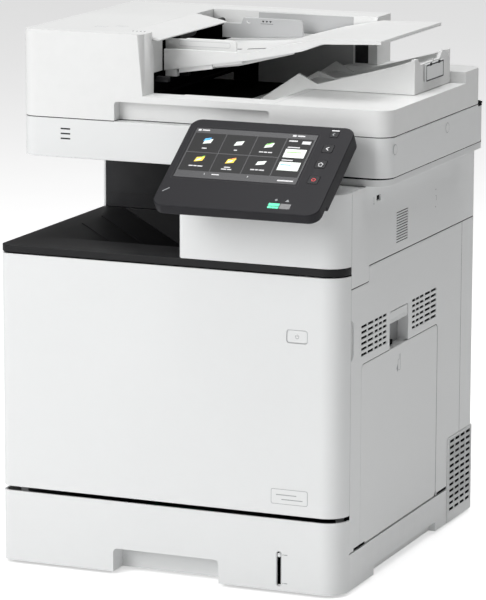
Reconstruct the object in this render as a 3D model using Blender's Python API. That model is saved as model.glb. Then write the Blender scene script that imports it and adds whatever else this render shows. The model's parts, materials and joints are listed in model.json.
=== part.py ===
"""Free-standing photocopier: base and cassette, print engine, output tray, scanner and feeder.

Sizes are in metres. Every shape is laid out in the machine's own working axes: X to the right,
Y from the front face towards the rear, Z up from the table. An empty called machine then carries
everything, so that the origin ends up under the middle of the whole machine.
"""
import math

import bmesh
import bpy
from mathutils import Matrix, Vector

# Driving dimensions
HALF_WIDTH = 0.223
DEPTH = 0.465
CASSETTE_TOP = 0.092
COVER_BOTTOM = CASSETTE_TOP + 0.0055
BAND_BOTTOM = 0.389
TRAY_RIM = 0.3976
UPPER_TOP = 0.486
SCANNER_LEFT = -HALF_WIDTH - 0.0023
SCANNER_RIGHT = HALF_WIDTH + 0.0316
SCANNER_FRONT = 0.0665
SCANNER_REAR = DEPTH - 0.051
SCANNER_BOTTOM = 0.4976
SCANNER_TOP = 0.5456
FEEDER_TOP = 0.6525

# Walls, gaps and corner radii
GAP = 0.0004
SHELL = 0.003
PANEL_WALL = 0.006
RIGHT_CORNER = 0.027
LEFT_CORNER = 0.012
ARC_STEPS = 12
CORNER_STEPS = 8
SMALL_CORNER = 0.010
ROD_SIDES = 32
BORE_CLEARANCE = 0.0003
THROUGH = 0.012

# Base
FOOT_HEIGHT = 0.0035
FOOT_RADIUS = 0.013
FOOT_INSET = 0.030
BASE_BOTTOM = FOOT_HEIGHT + GAP
SKIRT_TOP = 0.049
SKIRT_THICKNESS = 0.010
SIDE_SEAM = 0.028
BAY_HALF_WIDTH = HALF_WIDTH - 0.020
BAY_REAR = DEPTH - 0.020
BAY_FLOOR = 0.009
BAY_CEILING = CASSETTE_TOP + 0.0006
FRAME_TOP = BAY_CEILING + 0.004
NOTCH_FRONT = 0.112
NOTCH_REAR = DEPTH - 0.131
NOTCH_TOP = 0.016

# Cassette
CASSETTE_HALF_WIDTH = BAY_HALF_WIDTH - 0.003
CASSETTE_FLOOR = BAY_FLOOR + 0.002
CASSETTE_WALL_TOP = 0.062
CASSETTE_REAR = BAY_REAR - 0.005
GRIP_LEFT = -0.073
GRIP_RIGHT = 0.0655
GRIP_TOP = 0.033
GRIP_DEPTH = 0.028
BASE_FRONT = GRIP_DEPTH + SHELL + 0.003
LEVEL_SLOT_X = HALF_WIDTH - 0.079
LEVEL_SLOT_WIDTH = 0.0052
LEVEL_SLOT_BOTTOM = 0.010
LEVEL_SLOT_TOP = 0.052
PAPER_MIDDLE = (BASE_FRONT + BAY_REAR) / 2 - 0.0035
PAPER_WIDTH = 0.210
PAPER_LENGTH = 0.297
PAPER_RIGHT = BAY_HALF_WIDTH - 0.013
LIFT_PIVOT_X = PAPER_RIGHT - 0.170
PICKUP_X = PAPER_RIGHT - 0.008
PICKUP_Z = BAY_CEILING - 0.0146
PICKUP_SHAFT_RADIUS = 0.004
GUIDE_X = (LIFT_PIVOT_X - 0.105, LIFT_PIVOT_X - 0.015)

# Front cover and its button
BUTTON_X = HALF_WIDTH - 0.0574
BUTTON_Z = BAND_BOTTOM - 0.0742
BUTTON_WIDTH = 0.0255
BUTTON_HEIGHT = 0.0150
BUTTON_RADIUS = 0.003
COVER_HINGE_Y = 0.003

# Right side
HINGE_Z = 0.053
RIGHT_COVER_BOTTOM = 0.0505
RIGHT_COVER_REAR = DEPTH - 0.044
RIGHT_STEP_Y = 0.0876
RIGHT_STEP_Z = BAND_BOTTOM - 0.019
VENT_BOX_FRONT = DEPTH - 0.089
VENT_BOX_REAR = DEPTH + 0.007
VENT_BOX_TOP = 0.115
LOUVRE_PITCH = 0.0081
LOUVRE_SLOT = 0.0040
VENT_BOX_RIGHT = HALF_WIDTH + 0.0006
MP_FRONT = 0.0635
MP_REAR = VENT_BOX_FRONT - 0.0435
MP_BOTTOM = RIGHT_COVER_BOTTOM + 0.0010
MP_TOP = 0.273
MP_THICKNESS = 0.0032
MP_PIVOT_X = HALF_WIDTH - 0.0020
MP_PIVOT_Z = MP_BOTTOM + 0.0016
POCKET_FRONT = 0.1586
POCKET_REAR = 0.224
POCKET_TOP = MP_TOP + 0.047
LATCH_BOTTOM = POCKET_TOP - 0.0155
POCKET_DEPTH = 0.014
USB_Y = (0.109, 0.123)
USB_Z = (UPPER_TOP - 0.0228, UPPER_TOP - 0.0155)
UPPER_VENT_Y = (0.179, 0.219)
UPPER_VENT_BOTTOM = BAND_BOTTOM + 0.0122
UPPER_VENT_PITCH = 0.0033
UPPER_VENT_SLOT = 0.0013
UPPER_VENT_ROWS = 12

# Power inlet on the rear
INLET_X = 0.073 - HALF_WIDTH
INLET_Z = FRAME_TOP + 0.0234
INLET_WIDTH = 0.050
INLET_HEIGHT = 0.028
INLET_DEPTH = 0.019
SOCKET_WIDTH = 0.025
SOCKET_HEIGHT = 0.017

# Output tray and the housing behind it
RECESS_FRONT = 0.069
RECESS_REAR = DEPTH - 0.167
BACK_WALL_Y = RECESS_REAR + 0.004
TOWER_LEFT = HALF_WIDTH - 0.2096
TOWER_REAR = 0.110
EXIT_WALL_X = HALF_WIDTH - 0.153
EXIT_ROLLER_X = EXIT_WALL_X + 0.014
EXIT_ROLLER_Z = TRAY_RIM + 0.0424
EXIT_ROLLER_RADIUS = 0.008
TRAY_LEFT = 0.031 - HALF_WIDTH
TRAY_LOW_X = EXIT_WALL_X - 0.0035
TRAY_LOW_Z = BAND_BOTTOM - 0.063
TRAY_FLOOR = (
    (TRAY_LEFT, TRAY_RIM + 0.0004),
    (TRAY_LEFT + 0.071, TRAY_LOW_Z + 0.033),
    (TRAY_LOW_X - 0.1265, TRAY_LOW_Z + 0.009),
    (TRAY_LOW_X - 0.0765, TRAY_LOW_Z),
    (TRAY_LOW_X, TRAY_LOW_Z),
)

# Print engine
ENGINE_LEFT = 0.023 - HALF_WIDTH
ENGINE_RIGHT = HALF_WIDTH - 0.018
ENGINE_FRONT = 0.040
ENGINE_BOTTOM = FRAME_TOP + GAP
ENGINE_TOP = BAND_BOTTOM - 0.075
TONER_PITCH = (ENGINE_RIGHT - ENGINE_LEFT - 0.165) / 3
TONER_FIRST_X = ENGINE_LEFT + 0.060
TONER_WIDTH = TONER_PITCH - 0.012
TONER_BOTTOM = ENGINE_BOTTOM + 0.055
TONER_HEIGHT = 0.082
TONER_LENGTH = BAY_REAR - 0.045
FUSER_X = HALF_WIDTH - 0.049
FUSER_Z = ENGINE_TOP + 0.031
FUSER_FRONT = 0.064
FUSER_REAR = DEPTH - 0.041

# Scanner
WELL_LEFT = SCANNER_LEFT + 0.0203
WELL_RIGHT = SCANNER_RIGHT - 0.0196
GLASS_LEFT = SCANNER_LEFT + 0.0753
GLASS_RIGHT = SCANNER_RIGHT - 0.0446
GLASS_FRONT = SCANNER_FRONT + 0.0285
GLASS_REAR = SCANNER_REAR - 0.099
GLASS_THICKNESS = 0.003
RAIL_Y = (GLASS_FRONT + GLASS_REAR) / 2
RAIL_Z = SCANNER_BOTTOM + 0.0144
RAIL_RADIUS = 0.004
CARRIAGE_X = SCANNER_LEFT + 0.0453
CARRIAGE_WIDTH = 0.030

# Control panel
PANEL_LEFT = TOWER_LEFT + 0.0011
PANEL_RIGHT = HALF_WIDTH - 0.0010
PANEL_FRONT_Y = -0.084
PANEL_FRONT_Z = UPPER_TOP - 0.0105
PANEL_REAR_Y = 0.043
PANEL_REAR_Z = PANEL_FRONT_Z + 0.0841
PANEL_THICKNESS = 0.020
PANEL_PIVOT_Y = 0.015
PANEL_PIVOT_Z = UPPER_TOP + 0.017
SCREEN_LEFT = PANEL_LEFT + 0.011
SCREEN_WIDTH = 0.154
SCREEN_LOW = 0.050
SCREEN_HEIGHT = 0.086
SCREEN_DEPTH = 0.002
KEY_X = SCREEN_LEFT + SCREEN_WIDTH + 0.019
KEYS = (("stop_key", 0.0600), ("home_key", 0.0870), ("back_key", 0.1140), ("energy_key", 0.1390))

# Feeder
ADF_BOTTOM = SCANNER_TOP + 0.001
SLAB_TOP = ADF_BOTTOM + 0.0314
STEP_TOP = SLAB_TOP + 0.014
STEP_Y = SCANNER_REAR - 0.079
ADF_REAR = SCANNER_REAR - 0.014
ADF_PIVOT_Y = SCANNER_REAR + 0.006
ADF_PIVOT_Z = ADF_BOTTOM + 0.0034
ADF_HINGES = (("left", SCANNER_LEFT + 0.0703), ("right", SCANNER_RIGHT - 0.0696))
HEAD_LEFT = SCANNER_LEFT
HEAD_RIGHT = SCANNER_LEFT + 0.1628
HEAD_WALL_Y = SCANNER_FRONT + 0.0335
CAVITY_LEFT = SCANNER_LEFT + 0.0353
CAVITY_REAR = SCANNER_REAR - 0.0594
LID_RIGHT = HEAD_RIGHT - 0.0305
LID_FRONT = SCANNER_FRONT + 0.0135
LID_BOTTOM = FEEDER_TOP - 0.0115
FLAP_RIGHT = HEAD_RIGHT + 0.0125
PIT_FRONT = SCANNER_FRONT + 0.0385
PIT_RIGHT = HEAD_RIGHT + 0.1555
PIT_FLOOR = SLAB_TOP - 0.016
REAR_WALL_RIGHT = PIT_RIGHT + 0.038
TRAY_FRONT = SCANNER_FRONT + 0.0725
TRAY_REAR = CAVITY_REAR - 0.0026
TRAY_RIGHT = SCANNER_RIGHT - 0.0391
TRAY_PIVOT_X = HEAD_RIGHT + 0.0025
TRAY_PIVOT_Z = FEEDER_TOP - 0.0185
GUIDE_FOOT_Z = TRAY_PIVOT_Z - 0.0058
GUIDE_MARGIN = 0.013
GUIDE_REAR_MARGIN = 0.018
GUIDE_WALL = 0.004
WEDGE_DEPTH = 0.1276
WEDGE_REAR = STEP_Y - GAP
WEDGE_FRONT = WEDGE_REAR - WEDGE_DEPTH
WEDGE_LEFT = PIT_RIGHT - 0.0606
WEDGE_RIGHT = SCANNER_RIGHT - 0.0206
WEDGE_TOP = SLAB_TOP + 0.043
RIB_WIDTH = 0.004
GUIDE_LEFT = FLAP_RIGHT + 0.010
ADF_ROLLERS = (
    ("adf_pickup_roller", HEAD_RIGHT - 0.0175, FEEDER_TOP - 0.0145, 0.0090),
    ("adf_feed_roller", HEAD_RIGHT - 0.0595, FEEDER_TOP - 0.0195, 0.0120),
)

WHITE = (0.80, 0.81, 0.81, 1.0)
PALE_GREY = (0.52, 0.53, 0.53, 1.0)
BLACK = (0.012, 0.012, 0.014, 1.0)
CHARCOAL = (0.045, 0.045, 0.052, 1.0)
STEEL = (0.55, 0.56, 0.58, 1.0)

AXIS_TURNS = {
    "X": Matrix.Rotation(math.radians(90.0), 4, "Y"),
    "Y": Matrix.Rotation(math.radians(-90.0), 4, "X"),
    "Z": Matrix.Identity(4),
}
# Columns are where an outline's first, second and depth directions point
OUTLINE_FRAMES = {
    "XY": Matrix(((1, 0, 0, 0), (0, 1, 0, 0), (0, 0, 1, 0), (0, 0, 0, 1))),
    "XZ": Matrix(((1, 0, 0, 0), (0, 0, -1, 0), (0, 1, 0, 0), (0, 0, 0, 1))),
    "YZ": Matrix(((0, 0, 1, 0), (1, 0, 0, 0), (0, 1, 0, 0), (0, 0, 0, 1))),
}


def clear_scene():
    for item in list(bpy.data.objects):
        bpy.data.objects.remove(item, do_unlink=True)


def new_collection(name):
    collection = bpy.data.collections.new(name)
    bpy.context.scene.collection.children.link(collection)
    return collection


def new_material(name, colour, roughness, metallic=0.0):
    material = bpy.data.materials.new(name)
    material.use_nodes = True
    shader = material.node_tree.nodes["Principled BSDF"]
    shader.inputs["Base Color"].default_value = colour
    shader.inputs["Roughness"].default_value = roughness
    shader.inputs["Metallic"].default_value = metallic
    return material


def new_empty(name, location=(0.0, 0.0, 0.0), parent=None):
    """An empty on a joint's axis, given in the machine's working axes."""
    empty = bpy.data.objects.new(name, None)
    empty.empty_display_size = 0.03
    PARTS.objects.link(empty)
    PIVOTS[name] = Vector(location)
    empty.location = Vector(location)
    if parent is not None:
        empty.parent = bpy.data.objects[parent]
        empty.location = Vector(location) - PIVOTS[parent]


def loose_piece(bm, name):
    """An object that holds the bmesh, laid out in the working axes."""
    mesh = bpy.data.meshes.new(name)
    bm.to_mesh(mesh)
    bm.free()
    return bpy.data.objects.new(name, mesh)


def round_box_edges(bm, axis, radius, corners):
    """Rounds the edges of a box that run along one axis, at the given corners."""
    index = "XYZ".index(axis)
    others = [i for i in range(3) if i != index]
    edges = []
    for edge in bm.edges:
        start, end = edge.verts[0].co, edge.verts[1].co
        if abs(start[index] - end[index]) < 1e-6:
            continue
        middle = (start + end) / 2
        signs = tuple(1 if middle[i] > 0 else -1 for i in others)
        if corners is None or signs in corners:
            edges.append(edge)
    steps = CORNER_STEPS if radius >= SMALL_CORNER else CORNER_STEPS // 2
    bmesh.ops.bevel(bm, geom=edges, offset=radius, segments=steps, affect="EDGES", profile=0.5)


def box(name, x, y, z, rounded=None, radius=0.0, corners=None):
    """A box between pairs of limits, with the edges along one axis rounded if asked."""
    size = Vector((x[1] - x[0], y[1] - y[0], z[1] - z[0]))
    middle = Vector((x[1] + x[0], y[1] + y[0], z[1] + z[0])) / 2
    bm = bmesh.new()
    bmesh.ops.create_cube(bm, size=1.0, matrix=Matrix.Diagonal((*size, 1.0)))
    if rounded:
        round_box_edges(bm, rounded, radius, corners)
    bmesh.ops.translate(bm, verts=bm.verts, vec=middle)
    return loose_piece(bm, name)


def rod(name, axis, centre, radius, length, sides=ROD_SIDES):
    """A cylinder along one axis, centred on a point."""
    bm = bmesh.new()
    turn = Matrix.Translation(Vector(centre)) @ AXIS_TURNS[axis]
    bmesh.ops.create_cone(
        bm, cap_ends=True, segments=sides, radius1=radius, radius2=radius, depth=length, matrix=turn
    )
    piece = loose_piece(bm, name)
    piece.data.set_sharp_from_angle(angle=math.radians(40.0))
    return piece


def extrude(name, plane, outline, low, high):
    """A flat outline filled and given depth along the axis that its plane leaves out."""
    curve = bpy.data.curves.new(name, "CURVE")
    curve.dimensions = "2D"
    curve.fill_mode = "BOTH"
    curve.extrude = (high - low) / 2
    spline = curve.splines.new("POLY")
    spline.points.add(len(outline) - 1)
    for point, (first, second) in zip(spline.points, outline):
        point.co = (first, second, 0.0, 1.0)
    spline.use_cyclic_u = True
    holder = bpy.data.objects.new(name, curve)
    bpy.context.scene.collection.objects.link(holder)
    graph = bpy.context.evaluated_depsgraph_get()
    mesh = bpy.data.meshes.new_from_object(holder.evaluated_get(graph))
    bpy.data.objects.remove(holder, do_unlink=True)
    bm = bmesh.new()
    bm.from_mesh(mesh)
    bmesh.ops.remove_doubles(bm, verts=bm.verts, dist=1e-6)
    depth = (high + low) / 2
    frame = OUTLINE_FRAMES[plane]
    if plane == "XZ":
        depth = -depth
    bmesh.ops.transform(bm, matrix=frame @ Matrix.Translation((0.0, 0.0, depth)), verts=bm.verts)
    bmesh.ops.recalc_face_normals(bm, faces=bm.faces)
    return loose_piece(bm, name)


def arc(centre, radius, start, end, steps=ARC_STEPS):
    """Points on an arc, in degrees, both ends included."""
    points = []
    for step in range(steps + 1):
        angle = math.radians(start + (end - start) * step / steps)
        points.append((centre[0] + radius * math.cos(angle), centre[1] + radius * math.sin(angle)))
    return points


def front_outline(left, inset, left_radius, rear):
    """Plan of a front that wraps round both corners, from its left rear end to its right rear end."""
    right = HALF_WIDTH - inset
    near = inset
    left = left + inset
    small = max(left_radius - inset, 0.001)
    large = max(RIGHT_CORNER - inset, 0.001)
    points = [(left, rear)]
    points += arc((left + small, near + small), small, 180, 270)
    points += arc((right - large, near + large), large, 270, 360)
    points.append((right, rear))
    return points


def wrapped_front(name, left, left_radius, bottom, top, rear=SIDE_SEAM):
    """A thin U-shaped front whose ends reach back along both sides."""
    outer = front_outline(left, 0.0, left_radius, rear)
    inner = front_outline(left, SHELL, left_radius, rear)
    return extrude(name, "XY", outer + inner[::-1], bottom, top)


def finish(piece, material, pivot="machine"):
    """Puts a finished piece on its joint's empty and gives it its material."""
    piece.data.transform(Matrix.Translation(-PIVOTS[pivot]))
    piece.data.materials.clear()
    piece.data.materials.append(material)
    piece.parent = bpy.data.objects[pivot]
    PARTS.objects.link(piece)


def combine(piece, operation, *others):
    """Joins or cuts a piece with others, which become hidden helpers in the same place."""
    for other in others:
        other.name = f"{piece.name}_{operation.lower()}_{other.name}"
        other.parent = bpy.data.objects["machine"]
        other.display_type = "WIRE"
        other.hide_render = True
        CUTTERS.objects.link(other)
        modifier = piece.modifiers.new(other.name, "BOOLEAN")
        modifier.operation = operation
        modifier.solver = "EXACT"
        modifier.object = other


def cut(piece, *others):
    combine(piece, "DIFFERENCE", *others)


def join(piece, *others):
    combine(piece, "UNION", *others)


def slots(prefix, across, rows, depth, height):
    """Cutters for rows of slots: pairs of Y limits, each repeated at every row height."""
    cutters = []
    for row, level in enumerate(rows):
        for column, (near, far) in enumerate(across):
            name = f"{prefix}_{row}_{column}"
            cutters.append(box(name, depth, (near, far), (level, level + height)))
    return cutters


def make_feet():
    places = (
        ("foot_front_left", -1, FOOT_INSET),
        ("foot_front_right", 1, FOOT_INSET),
        ("foot_rear_left", -1, DEPTH - FOOT_INSET),
        ("foot_rear_right", 1, DEPTH - FOOT_INSET),
    )
    across = HALF_WIDTH - FOOT_INSET
    for name, side, along in places:
        foot = rod(name, "Z", (side * across, along, FOOT_HEIGHT / 2), FOOT_RADIUS, FOOT_HEIGHT)
        finish(foot, RUBBER)


def make_base_frame():
    inner = HALF_WIDTH - SKIRT_THICKNESS
    frame = box("base_frame", (-inner, inner), (BASE_FRONT, DEPTH - 0.010), (BASE_BOTTOM, FRAME_TOP))
    skirt_heights = (BASE_BOTTOM, SKIRT_TOP)
    left_skirt = box(
        "left_skirt", (-HALF_WIDTH, -inner + 0.002), (SIDE_SEAM + GAP, DEPTH - 0.005), skirt_heights
    )
    right_skirt = box(
        "right_skirt",
        (inner - 0.002, HALF_WIDTH),
        (SIDE_SEAM + GAP, VENT_BOX_FRONT - GAP),
        skirt_heights,
    )
    join(frame, left_skirt, right_skirt)
    bay = box(
        "bay", (-BAY_HALF_WIDTH, BAY_HALF_WIDTH), (-THROUGH, BAY_REAR), (BAY_FLOOR, BAY_CEILING)
    )
    cut(frame, bay)
    for side in (-1, 1):
        near, far = sorted((side * (inner + 0.001), side * (HALF_WIDTH + THROUGH)))
        notch = box(
            f"notch{side}", (near, far), (NOTCH_FRONT, NOTCH_REAR), (-THROUGH, NOTCH_TOP)
        )
        cut(frame, notch)
    for label, y in (("near", PAPER_MIDDLE - 0.056), ("far", PAPER_MIDDLE + 0.052)):
        hanger = box(
            f"hanger_{label}",
            (PICKUP_X - 0.010, PICKUP_X + 0.010),
            (y, y + 0.005),
            (PICKUP_Z - 0.008, FRAME_TOP - 0.0016),
        )
        join(frame, hanger)
    centre = (PICKUP_X, PAPER_MIDDLE, PICKUP_Z)
    bore = rod("pickup_bore", "Y", centre, PICKUP_SHAFT_RADIUS + BORE_CLEARANCE, 0.140)
    cut(frame, bore)
    finish(frame, WHITE_PLASTIC)


def make_cassette():
    face = wrapped_front(
        "cassette_front", -HALF_WIDTH, LEFT_CORNER, BASE_BOTTOM, CASSETTE_TOP
    )
    pocket = box(
        "pocket",
        (GRIP_LEFT - SHELL, GRIP_RIGHT + SHELL),
        (SHELL / 2, GRIP_DEPTH + SHELL),
        (BASE_BOTTOM, GRIP_TOP + SHELL),
    )
    grip = box(
        "grip", (GRIP_LEFT, GRIP_RIGHT), (-THROUGH, GRIP_DEPTH), (-THROUGH, GRIP_TOP),
        "Y", 0.005, {(1, 1), (-1, 1)},
    )
    half = LEVEL_SLOT_WIDTH / 2
    slot = box(
        "level_slot",
        (LEVEL_SLOT_X - half, LEVEL_SLOT_X + half),
        (-THROUGH, SIDE_SEAM),
        (LEVEL_SLOT_BOTTOM, LEVEL_SLOT_TOP),
        "Y", half * 0.9,
    )
    join(face, pocket)
    cut(face, grip, slot)
    finish(face, WHITE_PLASTIC, "cassette")

    front = GRIP_DEPTH + SHELL + GAP
    half_width = CASSETTE_HALF_WIDTH
    tray = box(
        "cassette_tray",
        (-half_width, half_width),
        (front, CASSETTE_REAR),
        (CASSETTE_FLOOR, CASSETTE_WALL_TOP),
    )
    hollow = box(
        "tray_hollow",
        (-half_width + SHELL, half_width - SHELL),
        (front + SHELL, CASSETTE_REAR - SHELL),
        (CASSETTE_FLOOR + SHELL, CASSETTE_WALL_TOP + THROUGH),
    )
    cut(tray, hollow)
    finish(tray, GREY_PLASTIC, "cassette")
    make_cassette_fittings()


def make_cassette_fittings():
    floor = CASSETTE_FLOOR + SHELL + GAP
    lift = box(
        "lift_plate",
        (LIFT_PIVOT_X, PAPER_RIGHT),
        (PAPER_MIDDLE - 0.085, PAPER_MIDDLE + 0.085),
        (floor + 0.002, floor + 0.004),
    )
    finish(lift, STEEL_SHEET, "lift")

    half_paper = PAPER_WIDTH / 2 + 0.001
    for name, side, pivot in (
        ("side_guide_front", -1, "guide_front"),
        ("side_guide_rear", 1, "guide_rear"),
    ):
        near, far = sorted(
            (PAPER_MIDDLE + side * half_paper, PAPER_MIDDLE + side * (half_paper + 0.004))
        )
        foot_near, foot_far = sorted(
            (PAPER_MIDDLE + side * (half_paper - 0.020), PAPER_MIDDLE + side * (half_paper + 0.004))
        )
        guide = box(name, GUIDE_X, (near, far), (floor, CASSETTE_WALL_TOP - 0.004))
        foot = box("foot", GUIDE_X, (foot_near, foot_far), (floor, floor + 0.0015))
        join(guide, foot)
        finish(guide, GREEN_PLASTIC, pivot)

    left_edge = PAPER_RIGHT - PAPER_LENGTH - 0.001
    end = box(
        "end_guide",
        (left_edge - 0.004, left_edge),
        (PAPER_MIDDLE - 0.022, PAPER_MIDDLE + 0.022),
        (floor, CASSETTE_WALL_TOP - 0.004),
    )
    heel = box(
        "heel",
        (left_edge - 0.024, left_edge),
        (PAPER_MIDDLE - 0.022, PAPER_MIDDLE + 0.022),
        (floor, floor + 0.006),
    )
    join(end, heel)
    finish(end, GREEN_PLASTIC, "end_guide_pivot")

    half = LEVEL_SLOT_WIDTH / 2 - 0.0006
    flag = box(
        "level_indicator",
        (LEVEL_SLOT_X - half, LEVEL_SLOT_X + half),
        (0.0008, SHELL + 0.006),
        (LEVEL_SLOT_TOP - 0.007, LEVEL_SLOT_TOP - 0.002),
        "Y", half * 0.8,
    )
    finish(flag, WHITE_PLASTIC, "level")


def swing_rise(reach, height):
    """How far a point rises when it swings about a hinge that far below it and in front of it."""
    return math.hypot(reach, height) - height


def make_front_cover():
    rise = swing_rise(SIDE_SEAM - COVER_HINGE_Y, BAND_BOTTOM - COVER_BOTTOM)
    cover = wrapped_front(
        "front_cover", -HALF_WIDTH, LEFT_CORNER, COVER_BOTTOM, BAND_BOTTOM - rise - 2 * GAP
    )
    hole = box(
        "button_hole",
        (BUTTON_X - BUTTON_WIDTH / 2 - GAP, BUTTON_X + BUTTON_WIDTH / 2 + GAP),
        (-THROUGH, THROUGH),
        (BUTTON_Z - BUTTON_HEIGHT / 2 - GAP, BUTTON_Z + BUTTON_HEIGHT / 2 + GAP),
        "Y", BUTTON_RADIUS + GAP,
    )
    cut(cover, hole)
    finish(cover, WHITE_PLASTIC, "front_cover_pivot")
    button = box(
        "power_button",
        (BUTTON_X - BUTTON_WIDTH / 2, BUTTON_X + BUTTON_WIDTH / 2),
        (0.0004, 0.008),
        (BUTTON_Z - BUTTON_HEIGHT / 2, BUTTON_Z + BUTTON_HEIGHT / 2),
        "Y", BUTTON_RADIUS,
    )
    finish(button, WHITE_PLASTIC, "power_button_pivot")


def make_side_covers():
    left = -HALF_WIDTH
    outline = (
        (SIDE_SEAM + GAP, SKIRT_TOP + 0.001),
        (DEPTH, SKIRT_TOP + 0.001),
        (DEPTH, UPPER_TOP),
        (BACK_WALL_Y, UPPER_TOP),
        (BACK_WALL_Y, BAND_BOTTOM - GAP),
        (SIDE_SEAM + GAP, BAND_BOTTOM - GAP),
    )
    finish(extrude("left_cover", "YZ", outline, left, left + SHELL), WHITE_PLASTIC)

    outline = (
        (SIDE_SEAM + GAP, RIGHT_STEP_Z + GAP * 2),
        (RIGHT_STEP_Y - GAP, RIGHT_STEP_Z + GAP * 2),
        (RIGHT_STEP_Y - GAP, BAND_BOTTOM + GAP * 2),
        (DEPTH, BAND_BOTTOM + GAP * 2),
        (DEPTH, UPPER_TOP),
        (SIDE_SEAM + GAP, UPPER_TOP),
    )
    inner = HALF_WIDTH - PANEL_WALL
    upper = extrude("upper_right_cover", "YZ", outline, inner, HALF_WIDTH)
    through = (inner - THROUGH, HALF_WIDTH + THROUGH)
    port = box("usb_opening", through, USB_Y, USB_Z)
    rows = [UPPER_VENT_BOTTOM + UPPER_VENT_PITCH * row for row in range(UPPER_VENT_ROWS)]
    cut(upper, port, *slots("upper_vent", [UPPER_VENT_Y], rows, through, UPPER_VENT_SLOT))
    finish(upper, WHITE_PLASTIC)

    corner = box(
        "right_rear_cover",
        (inner, HALF_WIDTH),
        (RIGHT_COVER_REAR + GAP, DEPTH),
        (VENT_BOX_TOP + GAP, BAND_BOTTOM),
    )
    finish(corner, WHITE_PLASTIC)


def make_rear_cover():
    rear = box(
        "rear_cover",
        (-HALF_WIDTH + SHELL + GAP, HALF_WIDTH - PANEL_WALL - GAP),
        (DEPTH - 0.004, DEPTH),
        (BASE_BOTTOM + 0.004, UPPER_TOP),
    )
    opening = box(
        "inlet_opening",
        (INLET_X - INLET_WIDTH / 2 - GAP, INLET_X + INLET_WIDTH / 2 + GAP),
        (DEPTH - THROUGH, DEPTH + THROUGH),
        (INLET_Z - INLET_HEIGHT / 2 - GAP, INLET_Z + INLET_HEIGHT / 2 + GAP),
    )
    corner = box(
        "corner",
        (HALF_WIDTH - SKIRT_THICKNESS, HALF_WIDTH + THROUGH),
        (DEPTH - THROUGH, DEPTH + THROUGH),
        (-THROUGH, VENT_BOX_TOP + GAP),
    )
    cut(rear, opening, corner)
    roof = box(
        "roof",
        (-HALF_WIDTH + SHELL + GAP, HALF_WIDTH - PANEL_WALL - GAP),
        (SCANNER_REAR - 0.010, DEPTH - 0.002),
        (UPPER_TOP - SHELL, UPPER_TOP),
    )
    join(rear, roof)
    vents = []
    for row in range(6):
        level = 0.300 + 0.010 * row
        through = (DEPTH - THROUGH, DEPTH + THROUGH)
        vents.append(box(f"rear_vent_{row}", (0.020, 0.120), through, (level, level + 0.004)))
    cut(rear, *vents)
    finish(rear, WHITE_PLASTIC)
    inlet = box(
        "power_inlet",
        (INLET_X - INLET_WIDTH / 2, INLET_X + INLET_WIDTH / 2),
        (DEPTH - INLET_DEPTH, DEPTH + 0.001),
        (INLET_Z - INLET_HEIGHT / 2, INLET_Z + INLET_HEIGHT / 2),
    )
    socket = box(
        "socket",
        (INLET_X - SOCKET_WIDTH / 2, INLET_X + SOCKET_WIDTH / 2),
        (DEPTH - INLET_DEPTH + SHELL, DEPTH + THROUGH),
        (INLET_Z - SOCKET_HEIGHT / 2, INLET_Z + SOCKET_HEIGHT / 2),
        "Y", 0.004, {(1, 1), (-1, 1)},
    )
    cut(inlet, socket)
    finish(inlet, BLACK_PLASTIC)


def make_vent_box():
    left = HALF_WIDTH - SKIRT_THICKNESS + 0.001
    shell = box(
        "rear_vent_cover",
        (left, VENT_BOX_RIGHT),
        (VENT_BOX_FRONT, VENT_BOX_REAR),
        (BASE_BOTTOM, VENT_BOX_TOP),
        "Z", 0.004, {(1, 1)},
    )
    hollow = box(
        "vent_hollow",
        (left - THROUGH, VENT_BOX_RIGHT - SHELL),
        (VENT_BOX_FRONT + SHELL, VENT_BOX_REAR - SHELL),
        (BASE_BOTTOM + SHELL, VENT_BOX_TOP - SHELL),
    )
    cut(shell, hollow)
    first = VENT_BOX_FRONT + 0.009
    across = [(first + 0.0205 * column, first + 0.017 + 0.0205 * column) for column in range(4)]
    rows = [VENT_BOX_TOP - 0.0080 - LOUVRE_PITCH * row for row in range(12)]
    cut(shell, *slots("louvre", across, rows, (HALF_WIDTH - 0.008, VENT_BOX_RIGHT + THROUGH), LOUVRE_SLOT))
    finish(shell, WHITE_PLASTIC)


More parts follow.
